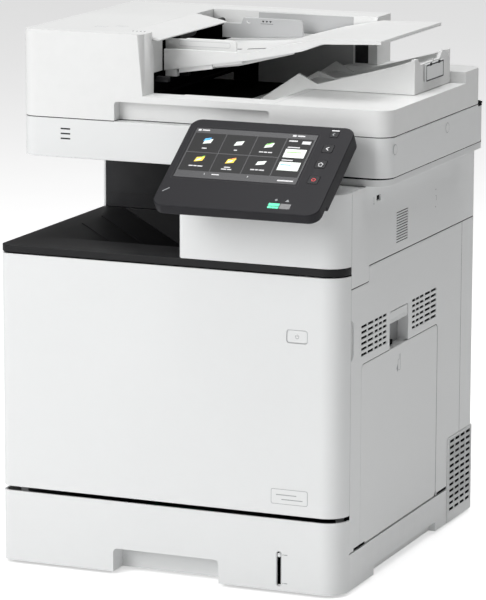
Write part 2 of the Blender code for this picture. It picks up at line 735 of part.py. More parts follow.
def make_right_cover():
    outline = (
        (SIDE_SEAM + GAP, RIGHT_COVER_BOTTOM),
        (VENT_BOX_FRONT - GAP * 2, RIGHT_COVER_BOTTOM),
        (VENT_BOX_FRONT - GAP * 2, VENT_BOX_TOP + GAP),
        (RIGHT_COVER_REAR, VENT_BOX_TOP + GAP),
        (RIGHT_COVER_REAR, BAND_BOTTOM),
        (RIGHT_STEP_Y, BAND_BOTTOM),
        (RIGHT_STEP_Y, RIGHT_STEP_Z),
        (SIDE_SEAM + GAP, RIGHT_STEP_Z),
    )
    inner = HALF_WIDTH - PANEL_WALL
    cover = extrude("right_cover", "YZ", outline, inner, HALF_WIDTH)
    pocket = box(
        "latch_pocket",
        (HALF_WIDTH - POCKET_DEPTH - SHELL, HALF_WIDTH - 0.001),
        (POCKET_FRONT - SHELL, POCKET_REAR + SHELL),
        (MP_TOP - SHELL, POCKET_TOP + SHELL),
    )
    join(cover, pocket)
    recess = box(
        "mp_recess",
        (HALF_WIDTH - 0.0050, HALF_WIDTH + THROUGH),
        (MP_FRONT - GAP, MP_REAR + GAP),
        (RIGHT_COVER_BOTTOM - THROUGH, MP_TOP + GAP),
        "X", 0.007 + GAP, {(-1, 1), (1, 1)},
    )
    hand_space = box(
        "hand_space",
        (HALF_WIDTH - POCKET_DEPTH, HALF_WIDTH + THROUGH),
        (POCKET_FRONT, POCKET_REAR),
        (MP_TOP - 0.001, POCKET_TOP),
        "X", 0.004,
    )
    feed_slot = box(
        "feed_slot",
        (HALF_WIDTH - 0.023, HALF_WIDTH + THROUGH),
        (MP_FRONT + 0.0265, MP_REAR - 0.0265),
        (MP_BOTTOM + 0.0235, MP_TOP - 0.011),
    )
    cut(cover, recess, hand_space, feed_slot)
    ends = (POCKET_FRONT - 0.0106, POCKET_REAR + 0.014)
    front_groups = [(ends[0] - 0.086, ends[0] - 0.045), (ends[0] - 0.041, ends[0])]
    rear_groups = [(ends[1], ends[1] + 0.042), (ends[1] + 0.046, ends[1] + 0.088)]
    rows = [MP_TOP + 0.0105 + 0.0068 * row for row in range(6)]
    through = (HALF_WIDTH - 0.013, HALF_WIDTH + THROUGH)
    cut(cover, *slots("side_vent", front_groups + rear_groups, rows, through, 0.0034))
    finish(cover, WHITE_PLASTIC, "right_cover_pivot")

    latch = box(
        "cover_latch",
        (HALF_WIDTH - 0.0035, HALF_WIDTH - 0.0006),
        (POCKET_FRONT + 0.001, POCKET_REAR - 0.001),
        (LATCH_BOTTOM, POCKET_TOP - 0.001),
        "X", 0.004,
    )
    finish(latch, WHITE_PLASTIC, "latch_pivot")

    door = box(
        "mp_tray",
        (HALF_WIDTH - MP_THICKNESS, HALF_WIDTH),
        (MP_FRONT, MP_REAR),
        (MP_BOTTOM, MP_TOP),
        "X", 0.007,
    )
    ramp = box(
        "mp_ramp",
        (HALF_WIDTH - 0.005, HALF_WIDTH - 0.002),
        (MP_FRONT + 0.0365, MP_REAR - 0.0365),
        (MP_BOTTOM + 0.0285, MP_TOP - 0.018),
    )
    join(door, ramp)
    finish(door, WHITE_PLASTIC, "mp_pivot")


def make_output_tray():
    front = front_outline(-HALF_WIDTH, 0.0, LEFT_CORNER, SIDE_SEAM - GAP)
    tray = extrude("output_tray", "XY", front, BAND_BOTTOM, TRAY_RIM)
    rim = box(
        "rim", (-HALF_WIDTH, EXIT_WALL_X), (SIDE_SEAM - 0.004, BACK_WALL_Y - GAP), (BAND_BOTTOM, TRAY_RIM)
    )
    bowl = box(
        "bowl",
        (TRAY_LEFT - 0.010, EXIT_WALL_X),
        (RECESS_FRONT - SHELL, BACK_WALL_Y - GAP),
        (TRAY_LOW_Z - 0.0035, BAND_BOTTOM + 0.003),
    )
    join(tray, rim, bowl)
    floor = list(TRAY_FLOOR)
    ceiling = TRAY_RIM + THROUGH
    recess = extrude(
        "recess",
        "XZ",
        [(floor[0][0] - 0.020, ceiling)] + floor + [(floor[-1][0], ceiling)],
        RECESS_FRONT,
        RECESS_REAR,
    )
    cut(tray, recess)
    finish(tray, BLACK_PLASTIC)


def make_tower():
    right = HALF_WIDTH
    inner_right = HALF_WIDTH - PANEL_WALL - GAP
    plan = [(TOWER_LEFT, TOWER_REAR)]
    plan += arc((TOWER_LEFT + 0.006, 0.006), 0.006, 180, 270, 4)
    plan += arc((right - RIGHT_CORNER, RIGHT_CORNER), RIGHT_CORNER, 270, 360)
    plan += [(right, SIDE_SEAM), (inner_right, SIDE_SEAM), (inner_right, TOWER_REAR)]
    tower = extrude("control_tower", "XY", plan, TRAY_RIM + GAP, UPPER_TOP)
    near = SHELL
    inside = [(TOWER_LEFT + SHELL, TOWER_REAR - SHELL), (TOWER_LEFT + SHELL, near)]
    centre = (right - RIGHT_CORNER, RIGHT_CORNER)
    inside += arc(centre, RIGHT_CORNER - SHELL, 270, 345)
    inside += [(inner_right - SHELL, SIDE_SEAM), (inner_right - SHELL, TOWER_REAR - SHELL)]
    hollow = extrude("tower_hollow", "XY", inside, TRAY_RIM - THROUGH, UPPER_TOP - SHELL)
    cut(tower, hollow)
    finish(tower, WHITE_PLASTIC)


def make_exit_housing():
    near = TOWER_REAR + GAP
    right = HALF_WIDTH - PANEL_WALL - GAP
    heights = (TRAY_RIM + GAP, UPPER_TOP)
    wall = box("back_wall", (-HALF_WIDTH + SHELL + GAP, right), (BACK_WALL_Y, BACK_WALL_Y + 0.004), heights)
    side = box("exit_wall", (EXIT_WALL_X, EXIT_WALL_X + 0.004), (near, BACK_WALL_Y + 0.002), heights)
    front = box("exit_front", (EXIT_WALL_X + 0.002, right), (near, near + 0.004), heights)
    join(wall, side, front)
    slot = box(
        "exit_slot",
        (EXIT_WALL_X - THROUGH, EXIT_WALL_X + THROUGH),
        (near + 0.0146, BACK_WALL_Y - 0.010),
        (EXIT_ROLLER_Z - 0.012, EXIT_ROLLER_Z + 0.016),
    )
    middle = (near + BACK_WALL_Y) / 2
    length = BACK_WALL_Y - near + 0.0284
    bore = rod(
        "exit_bore", "Y", (EXIT_ROLLER_X, middle, EXIT_ROLLER_Z), 0.003 + BORE_CLEARANCE, length
    )
    cut(wall, slot, bore)
    finish(wall, CHARCOAL_PLASTIC)

    shaft_y = middle + 0.002
    roller = rod(
        "exit_roller", "Y", (EXIT_ROLLER_X, shaft_y, EXIT_ROLLER_Z), 0.003, BACK_WALL_Y - near + 0.003
    )
    tyre_length = BACK_WALL_Y - near - 0.0416
    tyre = rod("tyre", "Y", (EXIT_ROLLER_X, middle, EXIT_ROLLER_Z), EXIT_ROLLER_RADIUS, tyre_length)
    join(roller, tyre)
    finish(roller, RUBBER, "exit_roller_pivot")


def make_engine():
    frame = box(
        "engine_frame", (ENGINE_LEFT, ENGINE_RIGHT), (ENGINE_FRONT, BAY_REAR), (ENGINE_BOTTOM, ENGINE_TOP)
    )
    hollow = box(
        "engine_hollow",
        (ENGINE_LEFT - THROUGH, ENGINE_RIGHT + THROUGH),
        (ENGINE_FRONT + SHELL, BAY_REAR - SHELL),
        (ENGINE_BOTTOM + SHELL, ENGINE_TOP - SHELL),
    )
    cut(frame, hollow)
    colours = ("yellow", "magenta", "cyan", "black")
    for index, colour in enumerate(colours):
        middle = TONER_FIRST_X + TONER_PITCH * index
        x = (middle - TONER_WIDTH / 2, middle + TONER_WIDTH / 2)
        port = box(
            f"toner_port_{colour}",
            (x[0] - 0.001, x[1] + 0.001),
            (ENGINE_FRONT - THROUGH, ENGINE_FRONT + THROUGH),
            (TONER_BOTTOM - 0.001, TONER_BOTTOM + TONER_HEIGHT + 0.001),
        )
        cut(frame, port)
        toner = box(
            f"toner_{colour}",
            x,
            (ENGINE_FRONT - 0.006, ENGINE_FRONT - 0.006 + TONER_LENGTH),
            (TONER_BOTTOM, TONER_BOTTOM + TONER_HEIGHT),
            "Y", 0.012, {(1, 1), (-1, 1)},
        )
        finish(toner, TONER_PLASTICS[colour])
    finish(frame, STEEL_SHEET)

    depth = (ENGINE_FRONT + SHELL + GAP, BAY_REAR - SHELL - GAP)
    left = ENGINE_LEFT + 0.022
    laser = box(
        "laser_unit",
        (left, ENGINE_RIGHT - 0.067),
        depth,
        (ENGINE_BOTTOM + SHELL + GAP, TONER_BOTTOM - 0.006),
        "Y", 0.006,
    )
    finish(laser, GREY_PLASTIC)
    belt = box(
        "transfer_unit",
        (left, ENGINE_RIGHT - 0.055),
        depth,
        (TONER_BOTTOM + TONER_HEIGHT + 0.010, ENGINE_TOP - 0.012),
        "Y", 0.026,
    )
    finish(belt, BLACK_PLASTIC)


def make_fuser():
    wall = 0.004
    right = FUSER_X + 0.026
    housing = box(
        "fuser_housing",
        (FUSER_X - 0.032, right),
        (FUSER_FRONT, FUSER_REAR),
        (ENGINE_TOP + GAP, FUSER_Z + 0.031),
    )
    hollow = box(
        "fuser_hollow",
        (FUSER_X - 0.032 + wall, right + THROUGH),
        (FUSER_FRONT + wall, FUSER_REAR - wall),
        (ENGINE_TOP + wall, FUSER_Z + 0.031 - wall),
    )
    centre = (FUSER_X, (FUSER_FRONT + FUSER_REAR) / 2, FUSER_Z)
    length = FUSER_REAR - FUSER_FRONT
    bore = rod("fuser_bore", "Y", centre, 0.006 + BORE_CLEARANCE, length + 0.040)
    cut(housing, hollow, bore)
    finish(housing, STEEL_SHEET)
    roller = rod("fuser_roller", "Y", centre, 0.006, length - 0.002)
    drum = rod("drum", "Y", centre, 0.015, length - 0.030)
    join(roller, drum)
    finish(roller, RUBBER, "fuser_roller_pivot")


def make_pickup_roller():
    centre = (PICKUP_X, PAPER_MIDDLE, PICKUP_Z)
    roller = rod("pickup_roller", "Y", centre, PICKUP_SHAFT_RADIUS, 0.120)
    tyre = rod("pickup_tyre", "Y", centre, 0.012, 0.040)
    join(roller, tyre)
    finish(roller, RUBBER, "pickup_roller_pivot")


def make_scanner():
    lip_left = TOWER_LEFT + 0.0066
    lip_right = SCANNER_RIGHT - 0.005
    front = SCANNER_FRONT + 0.006
    rear = SCANNER_REAR - 0.002
    plan = [(SCANNER_LEFT + 0.008, BACK_WALL_Y - 0.002), (lip_left, BACK_WALL_Y - 0.002), (lip_left, front)]
    plan += arc((lip_right - 0.022, front + 0.022), 0.022, 270, 360)
    plan += [(lip_right, rear), (SCANNER_LEFT + 0.008, rear)]
    support = extrude("scanner_support", "XY", plan, UPPER_TOP + GAP, SCANNER_BOTTOM - 0.001)
    finish(support, WHITE_PLASTIC)

    housing = box(
        "scanner_housing",
        (SCANNER_LEFT, SCANNER_RIGHT),
        (SCANNER_FRONT, SCANNER_REAR),
        (SCANNER_BOTTOM, SCANNER_TOP),
        "Z", 0.020,
    )
    well = box(
        "well",
        (WELL_LEFT, WELL_RIGHT),
        (GLASS_FRONT - 0.010, GLASS_REAR + 0.020),
        (SCANNER_BOTTOM + SHELL, SCANNER_TOP - 0.006),
    )
    window = box(
        "window",
        (GLASS_LEFT - 0.0450, GLASS_RIGHT - 0.006),
        (GLASS_FRONT + 0.006, GLASS_REAR - 0.006),
        (SCANNER_TOP - 0.010, SCANNER_TOP + THROUGH),
    )
    seat = box(
        "glass_seat",
        (GLASS_LEFT - 0.0500 - GAP, GLASS_RIGHT + GAP),
        (GLASS_FRONT - GAP, GLASS_REAR + GAP),
        (SCANNER_TOP - GLASS_THICKNESS - GAP, SCANNER_TOP + THROUGH),
    )
    cut(housing, well, window, seat)
    finish(housing, WHITE_PLASTIC)
    glass_z = (SCANNER_TOP - GLASS_THICKNESS, SCANNER_TOP)
    platen = box("platen_glass", (GLASS_LEFT, GLASS_RIGHT), (GLASS_FRONT, GLASS_REAR), glass_z)
    finish(platen, GLASS)

    middle = (WELL_LEFT + WELL_RIGHT) / 2
    length = WELL_RIGHT - WELL_LEFT - 0.004
    rail = rod("carriage_rail", "X", (middle, RAIL_Y, RAIL_Z), RAIL_RADIUS, length)
    finish(rail, STEEL_SHEET)
    carriage = box(
        "scan_carriage",
        (CARRIAGE_X - CARRIAGE_WIDTH / 2, CARRIAGE_X + CARRIAGE_WIDTH / 2),
        (GLASS_FRONT - 0.004, GLASS_REAR + 0.004),
        (RAIL_Z - 0.008, SCANNER_TOP - 0.010),
    )
    bearing = rod(
        "bearing", "X", (CARRIAGE_X, RAIL_Y, RAIL_Z), RAIL_RADIUS + BORE_CLEARANCE, 0.080
    )
    cut(carriage, bearing)
    finish(carriage, BLACK_PLASTIC, "carriage")

    for side, x in ADF_HINGES:
        leaf = box(
            f"adf_hinge_{side}",
            (x - 0.013, x + 0.013),
            (SCANNER_REAR + GAP, ADF_PIVOT_Y + 0.006),
            (SCANNER_BOTTOM + 0.003, ADF_PIVOT_Z),
        )
        knuckle = rod(
            f"knuckle_{side}", "X", (x, ADF_PIVOT_Y, ADF_PIVOT_Z), 0.0055, 0.026
        )
        join(leaf, knuckle)
        finish(leaf, STEEL_SHEET)


def panel_point(along, out):
    """Y and Z of a point on the panel: distance up its face and distance out of it."""
    rise = PANEL_REAR_Z - PANEL_FRONT_Z
    run = PANEL_REAR_Y - PANEL_FRONT_Y
    length = math.hypot(rise, run)
    up = (run / length, rise / length)
    normal = (-up[1], up[0])
    y = PANEL_FRONT_Y + along * up[0] + out * normal[0]
    z = PANEL_FRONT_Z + along * up[1] + out * normal[1]
    return y, z


def panel_block(name, x, along, out, radius=0.0):
    """A box that lies in the panel's tilted face."""
    block = box(name, x, along, out, "Z" if radius else None, radius)
    tilt = math.atan2(PANEL_REAR_Z - PANEL_FRONT_Z, PANEL_REAR_Y - PANEL_FRONT_Y)
    place = Matrix.Translation((0.0, PANEL_FRONT_Y, PANEL_FRONT_Z)) @ Matrix.Rotation(tilt, 4, "X")
    block.data.transform(place)
    return block


def panel_length():
    return math.hypot(PANEL_REAR_Z - PANEL_FRONT_Z, PANEL_REAR_Y - PANEL_FRONT_Y)


def make_panel():
    length = panel_length()
    body = panel_block(
        "panel_housing", (PANEL_LEFT, PANEL_RIGHT), (0.0, length), (-PANEL_THICKNESS, 0.0), 0.014
    )
    chamfer = panel_block(
        "panel_chamfer",
        (PANEL_LEFT - THROUGH, PANEL_RIGHT + THROUGH),
        (-THROUGH, 0.030),
        (-PANEL_THICKNESS - THROUGH, -0.0135),
    )
    cut(body, chamfer)
    screen_x = (SCREEN_LEFT, SCREEN_LEFT + SCREEN_WIDTH)
    screen_along = (SCREEN_LOW, SCREEN_LOW + SCREEN_HEIGHT)
    recess = panel_block(
        "screen_recess",
        (screen_x[0] - GAP, screen_x[1] + GAP),
        (screen_along[0] - GAP, screen_along[1] + GAP),
        (-SCREEN_DEPTH, THROUGH),
    )
    cut(body, recess)
    for side, x in (("left", PANEL_LEFT + 0.0335), ("right", PANEL_RIGHT - 0.0350)):
        lug = panel_block(f"lug_{side}", (x - 0.009, x + 0.009), (0.097, 0.125), (-0.037, -0.010))
        join(body, lug)
    finish(body, CHARCOAL_PLASTIC, "panel")

    screen = panel_block("touch_screen", screen_x, screen_along, (-SCREEN_DEPTH + GAP, 0.0002))
    finish(screen, GLASS, "panel")

    for name, along in KEYS:
        half = 0.0065 if name != "energy_key" else 0.0050
        well = panel_block(
            f"well_{name}",
            (KEY_X - half - GAP, KEY_X + half + GAP),
            (along - half - GAP, along + half + GAP),
            (-0.0045, THROUGH),
            0.002,
        )
        cut(body, well)
        key = panel_block(
            name, (KEY_X - half, KEY_X + half), (along - half, along + half), (-0.0030, 0.0004), 0.0018
        )
        finish(key, CHARCOAL_PLASTIC, f"{name}_pivot")

    x = (PANEL_LEFT + 0.0475, PANEL_RIGHT - 0.0490)
    bracket = box("panel_bracket", x, (0.001, 0.046), (UPPER_TOP + GAP, UPPER_TOP + 0.003))
    low_z = PANEL_PIVOT_Z - 0.002
    barrel = rod("barrel", "X", (sum(x) / 2, PANEL_PIVOT_Y, low_z), 0.008, x[1] - x[0])
    web = box("web", x, (0.008, 0.022), (UPPER_TOP + 0.0015, low_z))
    join(bracket, web, barrel)
    finish(bracket, CHARCOAL_PLASTIC)


def make_feeder_base():
    slab = box(
        "adf_base", (SCANNER_LEFT, SCANNER_RIGHT), (SCANNER_FRONT, ADF_REAR), (ADF_BOTTOM, SLAB_TOP),
        "Z", 0.020,
    )
    head = box(
        "head", (HEAD_LEFT, HEAD_RIGHT), (SCANNER_FRONT, ADF_REAR), (ADF_BOTTOM + 0.010, FEEDER_TOP),
        "Z", 0.020, {(-1, -1), (-1, 1)},
    )
    step = box(
        "step", (HEAD_RIGHT - 0.010, SCANNER_RIGHT), (STEP_Y, ADF_REAR), (ADF_BOTTOM + 0.010, STEP_TOP),
        "Z", 0.020, {(1, 1)},
    )
    rear_wall = box(
        "rear_wall",
        (HEAD_RIGHT - 0.010, REAR_WALL_RIGHT),
        (CAVITY_REAR, ADF_REAR),
        (SLAB_TOP - 0.005, FEEDER_TOP),
    )
    join(slab, head, step, rear_wall)
    pit = box(
        "pit",
        (CAVITY_LEFT, PIT_RIGHT),
        (PIT_FRONT, CAVITY_REAR),
        (PIT_FLOOR, STEP_TOP),
    )
    cavity = box(
        "cavity",
        (CAVITY_LEFT, HEAD_RIGHT + 0.040),
        (HEAD_WALL_Y, CAVITY_REAR),
        (PIT_FLOOR + 0.010, LID_BOTTOM + THROUGH + 0.010),
    )
    lid_space = box(
        "lid_space",
        (HEAD_LEFT - THROUGH, LID_RIGHT + GAP),
        (LID_FRONT - GAP, ADF_REAR - 0.004 + GAP),
        (LID_BOTTOM - GAP, FEEDER_TOP + THROUGH),
    )
    hand_grip = box(
        "hand_grip",
        (-0.100, 0.102),
        (SCANNER_FRONT - THROUGH, SCANNER_FRONT + 0.016),
        (ADF_BOTTOM - THROUGH, ADF_BOTTOM + 0.0234),
        "Y", 0.004, {(1, 1), (-1, 1)},
    )
    cut(slab, pit, cavity, lid_space, hand_grip)
    flap = extrude(
        "flap",
        "XZ",
        (
            (LID_RIGHT + GAP * 2, FEEDER_TOP - 0.004),
            (HEAD_RIGHT - 0.0095, FEEDER_TOP - 0.004),
            (FLAP_RIGHT - 0.002, FEEDER_TOP - 0.0155),
            (FLAP_RIGHT, FEEDER_TOP - 0.0125),
            (HEAD_RIGHT - 0.0035, FEEDER_TOP),
            (LID_RIGHT + GAP * 2, FEEDER_TOP),
        ),
        HEAD_WALL_Y - 0.004,
        CAVITY_REAR + 0.004,
    )
    join(slab, flap)
    bores = []
    for name, x, z, _ in ADF_ROLLERS:
        middle = (HEAD_WALL_Y + CAVITY_REAR) / 2
        length = CAVITY_REAR - HEAD_WALL_Y + 0.022
        bores.append(rod(f"bore_{name}", "Y", (x, middle, z), 0.004 + BORE_CLEARANCE, length))
    cut(slab, *bores)
    for side, x in ADF_HINGES:
        reach = (ADF_REAR - 0.010, ADF_PIVOT_Y + 0.004)
        arm = box(f"arm_{side}", (x - 0.012, x + 0.012), reach, (ADF_BOTTOM + 0.0106, ADF_BOTTOM + 0.0214))
        join(slab, arm)
    finish(slab, WHITE_PLASTIC, "adf")

    for name, x, z, radius in ADF_ROLLERS:
        middle = (HEAD_WALL_Y + CAVITY_REAR) / 2
        shaft = rod(name, "Y", (x, middle, z), 0.004, CAVITY_REAR - HEAD_WALL_Y + 0.018)
        tyre = rod(f"tyre_{name}", "Y", (x, middle, z), radius, 0.050)
        join(shaft, tyre)
        finish(shaft, RUBBER, f"{name}_pivot")


def make_feeder_lid():
    lid = box(
        "feeder_cover",
        (HEAD_LEFT, LID_RIGHT),
        (LID_FRONT, ADF_REAR - 0.004),
        (LID_BOTTOM, FEEDER_TOP),
        "Y", 0.004, {(-1, 1)},
    )
    hollow = box(
        "lid_hollow",
        (CAVITY_LEFT, LID_RIGHT - SHELL),
        (HEAD_WALL_Y, CAVITY_REAR),
        (LID_BOTTOM - THROUGH, FEEDER_TOP - SHELL),
    )
    cut(lid, hollow)
    finish(lid, WHITE_PLASTIC, "lid")


def make_document_tray():
    left, right, level = TRAY_PIVOT_X, TRAY_RIGHT, TRAY_PIVOT_Z
    outline = (
        (left - 0.0060, level - 0.0066),
        (left - 0.0060, level - 0.0330),
        (left + 0.1060, level - 0.0150),
        (right - 0.1020, level - 0.0010),
        (right - 0.0765, level + 0.0090),
        (right, level + 0.0122),
        (right, level + 0.0162),
        (right - 0.0765, level + 0.0150),
        (right - 0.1255, level + 0.0055),
        (left + 0.1060, level - 0.0066),
    )
    tray = extrude("document_tray", "XZ", outline, TRAY_FRONT, TRAY_REAR)
    finish(tray, WHITE_PLASTIC, "doc_tray")
    guides = (
        ("front", TRAY_FRONT + GUIDE_MARGIN, 0.064, FEEDER_TOP - 0.0125),
        ("rear", TRAY_REAR - GUIDE_REAR_MARGIN - GUIDE_WALL, 0.080, FEEDER_TOP - 0.0060),
    )
    for side, near, length, top in guides:
        guide = box(
            f"document_guide_{side}",
            (GUIDE_LEFT, GUIDE_LEFT + length),
            (near, near + GUIDE_WALL),
            (GUIDE_FOOT_Z, top),
            "Y", 0.004, {(1, 1)},
        )
        finish(guide, WHITE_PLASTIC, f"doc_guide_{side}")


def rib_outline(low):
    """Side view of an output rib; low lowers its crest and its long slope."""
    return (
        (WEDGE_LEFT, PIT_FLOOR + GAP),
        (PIT_RIGHT - GAP, PIT_FLOOR + GAP),
        (PIT_RIGHT - GAP, SLAB_TOP + GAP),
        (WEDGE_RIGHT, SLAB_TOP + GAP),
        (WEDGE_RIGHT, WEDGE_TOP - low),
        (WEDGE_RIGHT - 0.0203, WEDGE_TOP - 0.0073 - low),
        (WEDGE_LEFT + 0.0750, SLAB_TOP + 0.0070 - low * 0.2),
        (WEDGE_LEFT + 0.0512, SLAB_TOP + 0.0190 - low),
    )


def make_output_wedge():
    wedge = extrude(
        "document_output_tray", "XZ", rib_outline(0.012), WEDGE_FRONT, WEDGE_REAR
    )
    for label, y, low in (
        ("front", WEDGE_FRONT, 0.0),
        ("middle", (WEDGE_FRONT + WEDGE_REAR) / 2, 0.005),
        ("rear", WEDGE_REAR - RIB_WIDTH, 0.0),
    ):
        join(wedge, extrude(f"rib_{label}", "XZ", rib_outline(low), y, y + RIB_WIDTH))
    end_wall = extrude(
        "end_wall",
        "YZ",
        (
            (WEDGE_FRONT, SLAB_TOP + 0.002),
            (WEDGE_REAR, SLAB_TOP + 0.002),
            (WEDGE_REAR, WEDGE_TOP - 0.0140),
            (WEDGE_REAR - 0.0166, WEDGE_TOP + 0.0005),
            (WEDGE_REAR - 0.0306, WEDGE_TOP + 0.0005),
            (WEDGE_REAR - 0.0386, WEDGE_TOP - 0.0080),
            (WEDGE_FRONT + 0.0190, WEDGE_TOP - 0.0080),
            (WEDGE_FRONT + 0.0110, WEDGE_TOP),
            (WEDGE_FRONT, WEDGE_TOP),
        ),
        WEDGE_RIGHT - 0.005,
        WEDGE_RIGHT,
    )
    join(wedge, end_wall)
    finish(wedge, WHITE_PLASTIC, "adf")
    stopper = box(
        "document_stopper",
        (WEDGE_RIGHT + 0.0008, WEDGE_RIGHT + 0.0032),
        (WEDGE_FRONT + 0.0310, WEDGE_REAR - 0.0326),
        (WEDGE_TOP - 0.0310, WEDGE_TOP - 0.0090),
    )
    finish(stopper, WHITE_PLASTIC, "stopper")


PIVOTS = {}
clear_scene()
PARTS = new_collection("photocopier")
CUTTERS = new_collection("photocopier_cutters")
CUTTERS.hide_render = True

WHITE_PLASTIC = new_material("white_plastic", WHITE, 0.38)
GREY_PLASTIC = new_material("grey_plastic", PALE_GREY, 0.45)
BLACK_PLASTIC = new_material("black_plastic", BLACK, 0.40)
CHARCOAL_PLASTIC = new_material("charcoal_plastic", CHARCOAL, 0.45)
GREEN_PLASTIC = new_material("green_plastic", (0.05, 0.25, 0.16, 1.0), 0.45)
STEEL_SHEET = new_material("steel_sheet", STEEL, 0.35, 1.0)
RUBBER = new_material("rubber", (0.02, 0.02, 0.02, 1.0), 0.80)
GLASS = new_material("glass", (0.02, 0.03, 0.03, 1.0), 0.05)
TONER_PLASTICS = {
    "yellow": new_material("toner_yellow", (0.75, 0.60, 0.03, 1.0), 0.45),
    "magenta": new_material("toner_magenta", (0.60, 0.03, 0.20, 1.0), 0.45),
    "cyan": new_material("toner_cyan", (0.02, 0.35, 0.60, 1.0), 0.45),
    "black": new_material("toner_black", (0.03, 0.03, 0.03, 1.0), 0.45),
}


def make_pivots():
    """The joints' empties, each on its axis, in the order of the chain that carries it."""
    new_empty("machine")
    middle_y = PAPER_MIDDLE
    hinge_x = HALF_WIDTH - 0.0015
    exit_y = (TOWER_REAR + BACK_WALL_Y) / 2
    latch_y = (POCKET_FRONT + POCKET_REAR) / 2
    places = (
        ("cassette", (0.0, 0.0, CASSETTE_FLOOR), "machine"),
        ("lift", (LIFT_PIVOT_X, middle_y, CASSETTE_FLOOR + SHELL + GAP + 0.003), "cassette"),
        ("guide_front", (sum(GUIDE_X) / 2, middle_y - PAPER_WIDTH / 2, CASSETTE_FLOOR), "cassette"),
        ("guide_rear", (sum(GUIDE_X) / 2, middle_y + PAPER_WIDTH / 2, CASSETTE_FLOOR), "cassette"),
        ("end_guide_pivot", (PAPER_RIGHT - PAPER_LENGTH, middle_y, CASSETTE_FLOOR), "cassette"),
        ("level", (LEVEL_SLOT_X, SHELL, LEVEL_SLOT_TOP), "cassette"),
        ("front_cover_pivot", (0.0, COVER_HINGE_Y, COVER_BOTTOM), "machine"),
        ("power_button_pivot", (BUTTON_X, 0.0, BUTTON_Z), "front_cover_pivot"),
        ("right_cover_pivot", (hinge_x, 0.200, HINGE_Z), "machine"),
        ("latch_pivot", (HALF_WIDTH - 0.0020, latch_y, POCKET_TOP - 0.0020), "right_cover_pivot"),
        ("mp_pivot", (MP_PIVOT_X, (MP_FRONT + MP_REAR) / 2, MP_PIVOT_Z), "right_cover_pivot"),
        ("exit_roller_pivot", (EXIT_ROLLER_X, exit_y, EXIT_ROLLER_Z), "machine"),
        ("fuser_roller_pivot", (FUSER_X, (FUSER_FRONT + FUSER_REAR) / 2, FUSER_Z), "machine"),
        ("pickup_roller_pivot", (PICKUP_X, middle_y, PICKUP_Z), "machine"),
        ("carriage", (CARRIAGE_X, RAIL_Y, RAIL_Z), "machine"),
        ("panel", ((PANEL_LEFT + PANEL_RIGHT) / 2 - 0.00075, PANEL_PIVOT_Y, PANEL_PIVOT_Z), "machine"),
        ("adf", ((ADF_HINGES[0][1] + ADF_HINGES[1][1]) / 2, ADF_PIVOT_Y, ADF_PIVOT_Z), "machine"),
        ("lid", (HEAD_LEFT, (LID_FRONT + ADF_REAR) / 2, LID_BOTTOM), "adf"),
        ("doc_tray", (TRAY_PIVOT_X, (TRAY_FRONT + TRAY_REAR) / 2, TRAY_PIVOT_Z), "adf"),
        ("doc_guide_front", (0.0, TRAY_FRONT + GUIDE_MARGIN, GUIDE_FOOT_Z), "doc_tray"),
        ("doc_guide_rear", (0.0, TRAY_REAR - GUIDE_REAR_MARGIN, GUIDE_FOOT_Z), "doc_tray"),
        ("stopper", (WEDGE_RIGHT + 0.0020, (WEDGE_FRONT + WEDGE_REAR) / 2, WEDGE_TOP - 0.0100), "adf"),
    )
    for name, place, parent in places:
        new_empty(name, place, parent)
    for name, along in KEYS:
        new_empty(f"{name}_pivot", (KEY_X, *panel_point(along, 0.0)), "panel")
    for name, x, z, _ in ADF_ROLLERS:
        new_empty(f"{name}_pivot", (x, (HEAD_WALL_Y + CAVITY_REAR) / 2, z), "adf")


def centre_machine():
    """Moves everything so that the origin is under the middle of the whole machine."""
    front = PANEL_FRONT_Y
    middle_x = (SCANNER_LEFT + SCANNER_RIGHT) / 2
    middle_y = (front + VENT_BOX_REAR) / 2
    bpy.data.objects["machine"].location = (-middle_x, -middle_y, 0.0)


make_pivots()
make_feet()
make_base_frame()
make_cassette()
make_front_cover()
make_side_covers()
make_rear_cover()
make_vent_box()
make_right_cover()
make_output_tray()
make_tower()
make_exit_housing()
make_engine()
make_fuser()
make_pickup_roller()
make_scanner()
make_panel()
make_feeder_base()
make_feeder_lid()
make_document_tray()
make_output_wedge()
centre_machine()
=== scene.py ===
"""Looks of a free-standing colour photocopier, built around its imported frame.

Every mould is shaped in the machine's working axes, in millimetres: X to the right from the middle
of the body, Y rearwards from its front face and Z up from the table.
"""
import json
import logging
import math
from dataclasses import dataclass
from enum import Enum
from typing import Iterable, Optional, Sequence

import bmesh
import bpy
from mathutils import Matrix, Vector


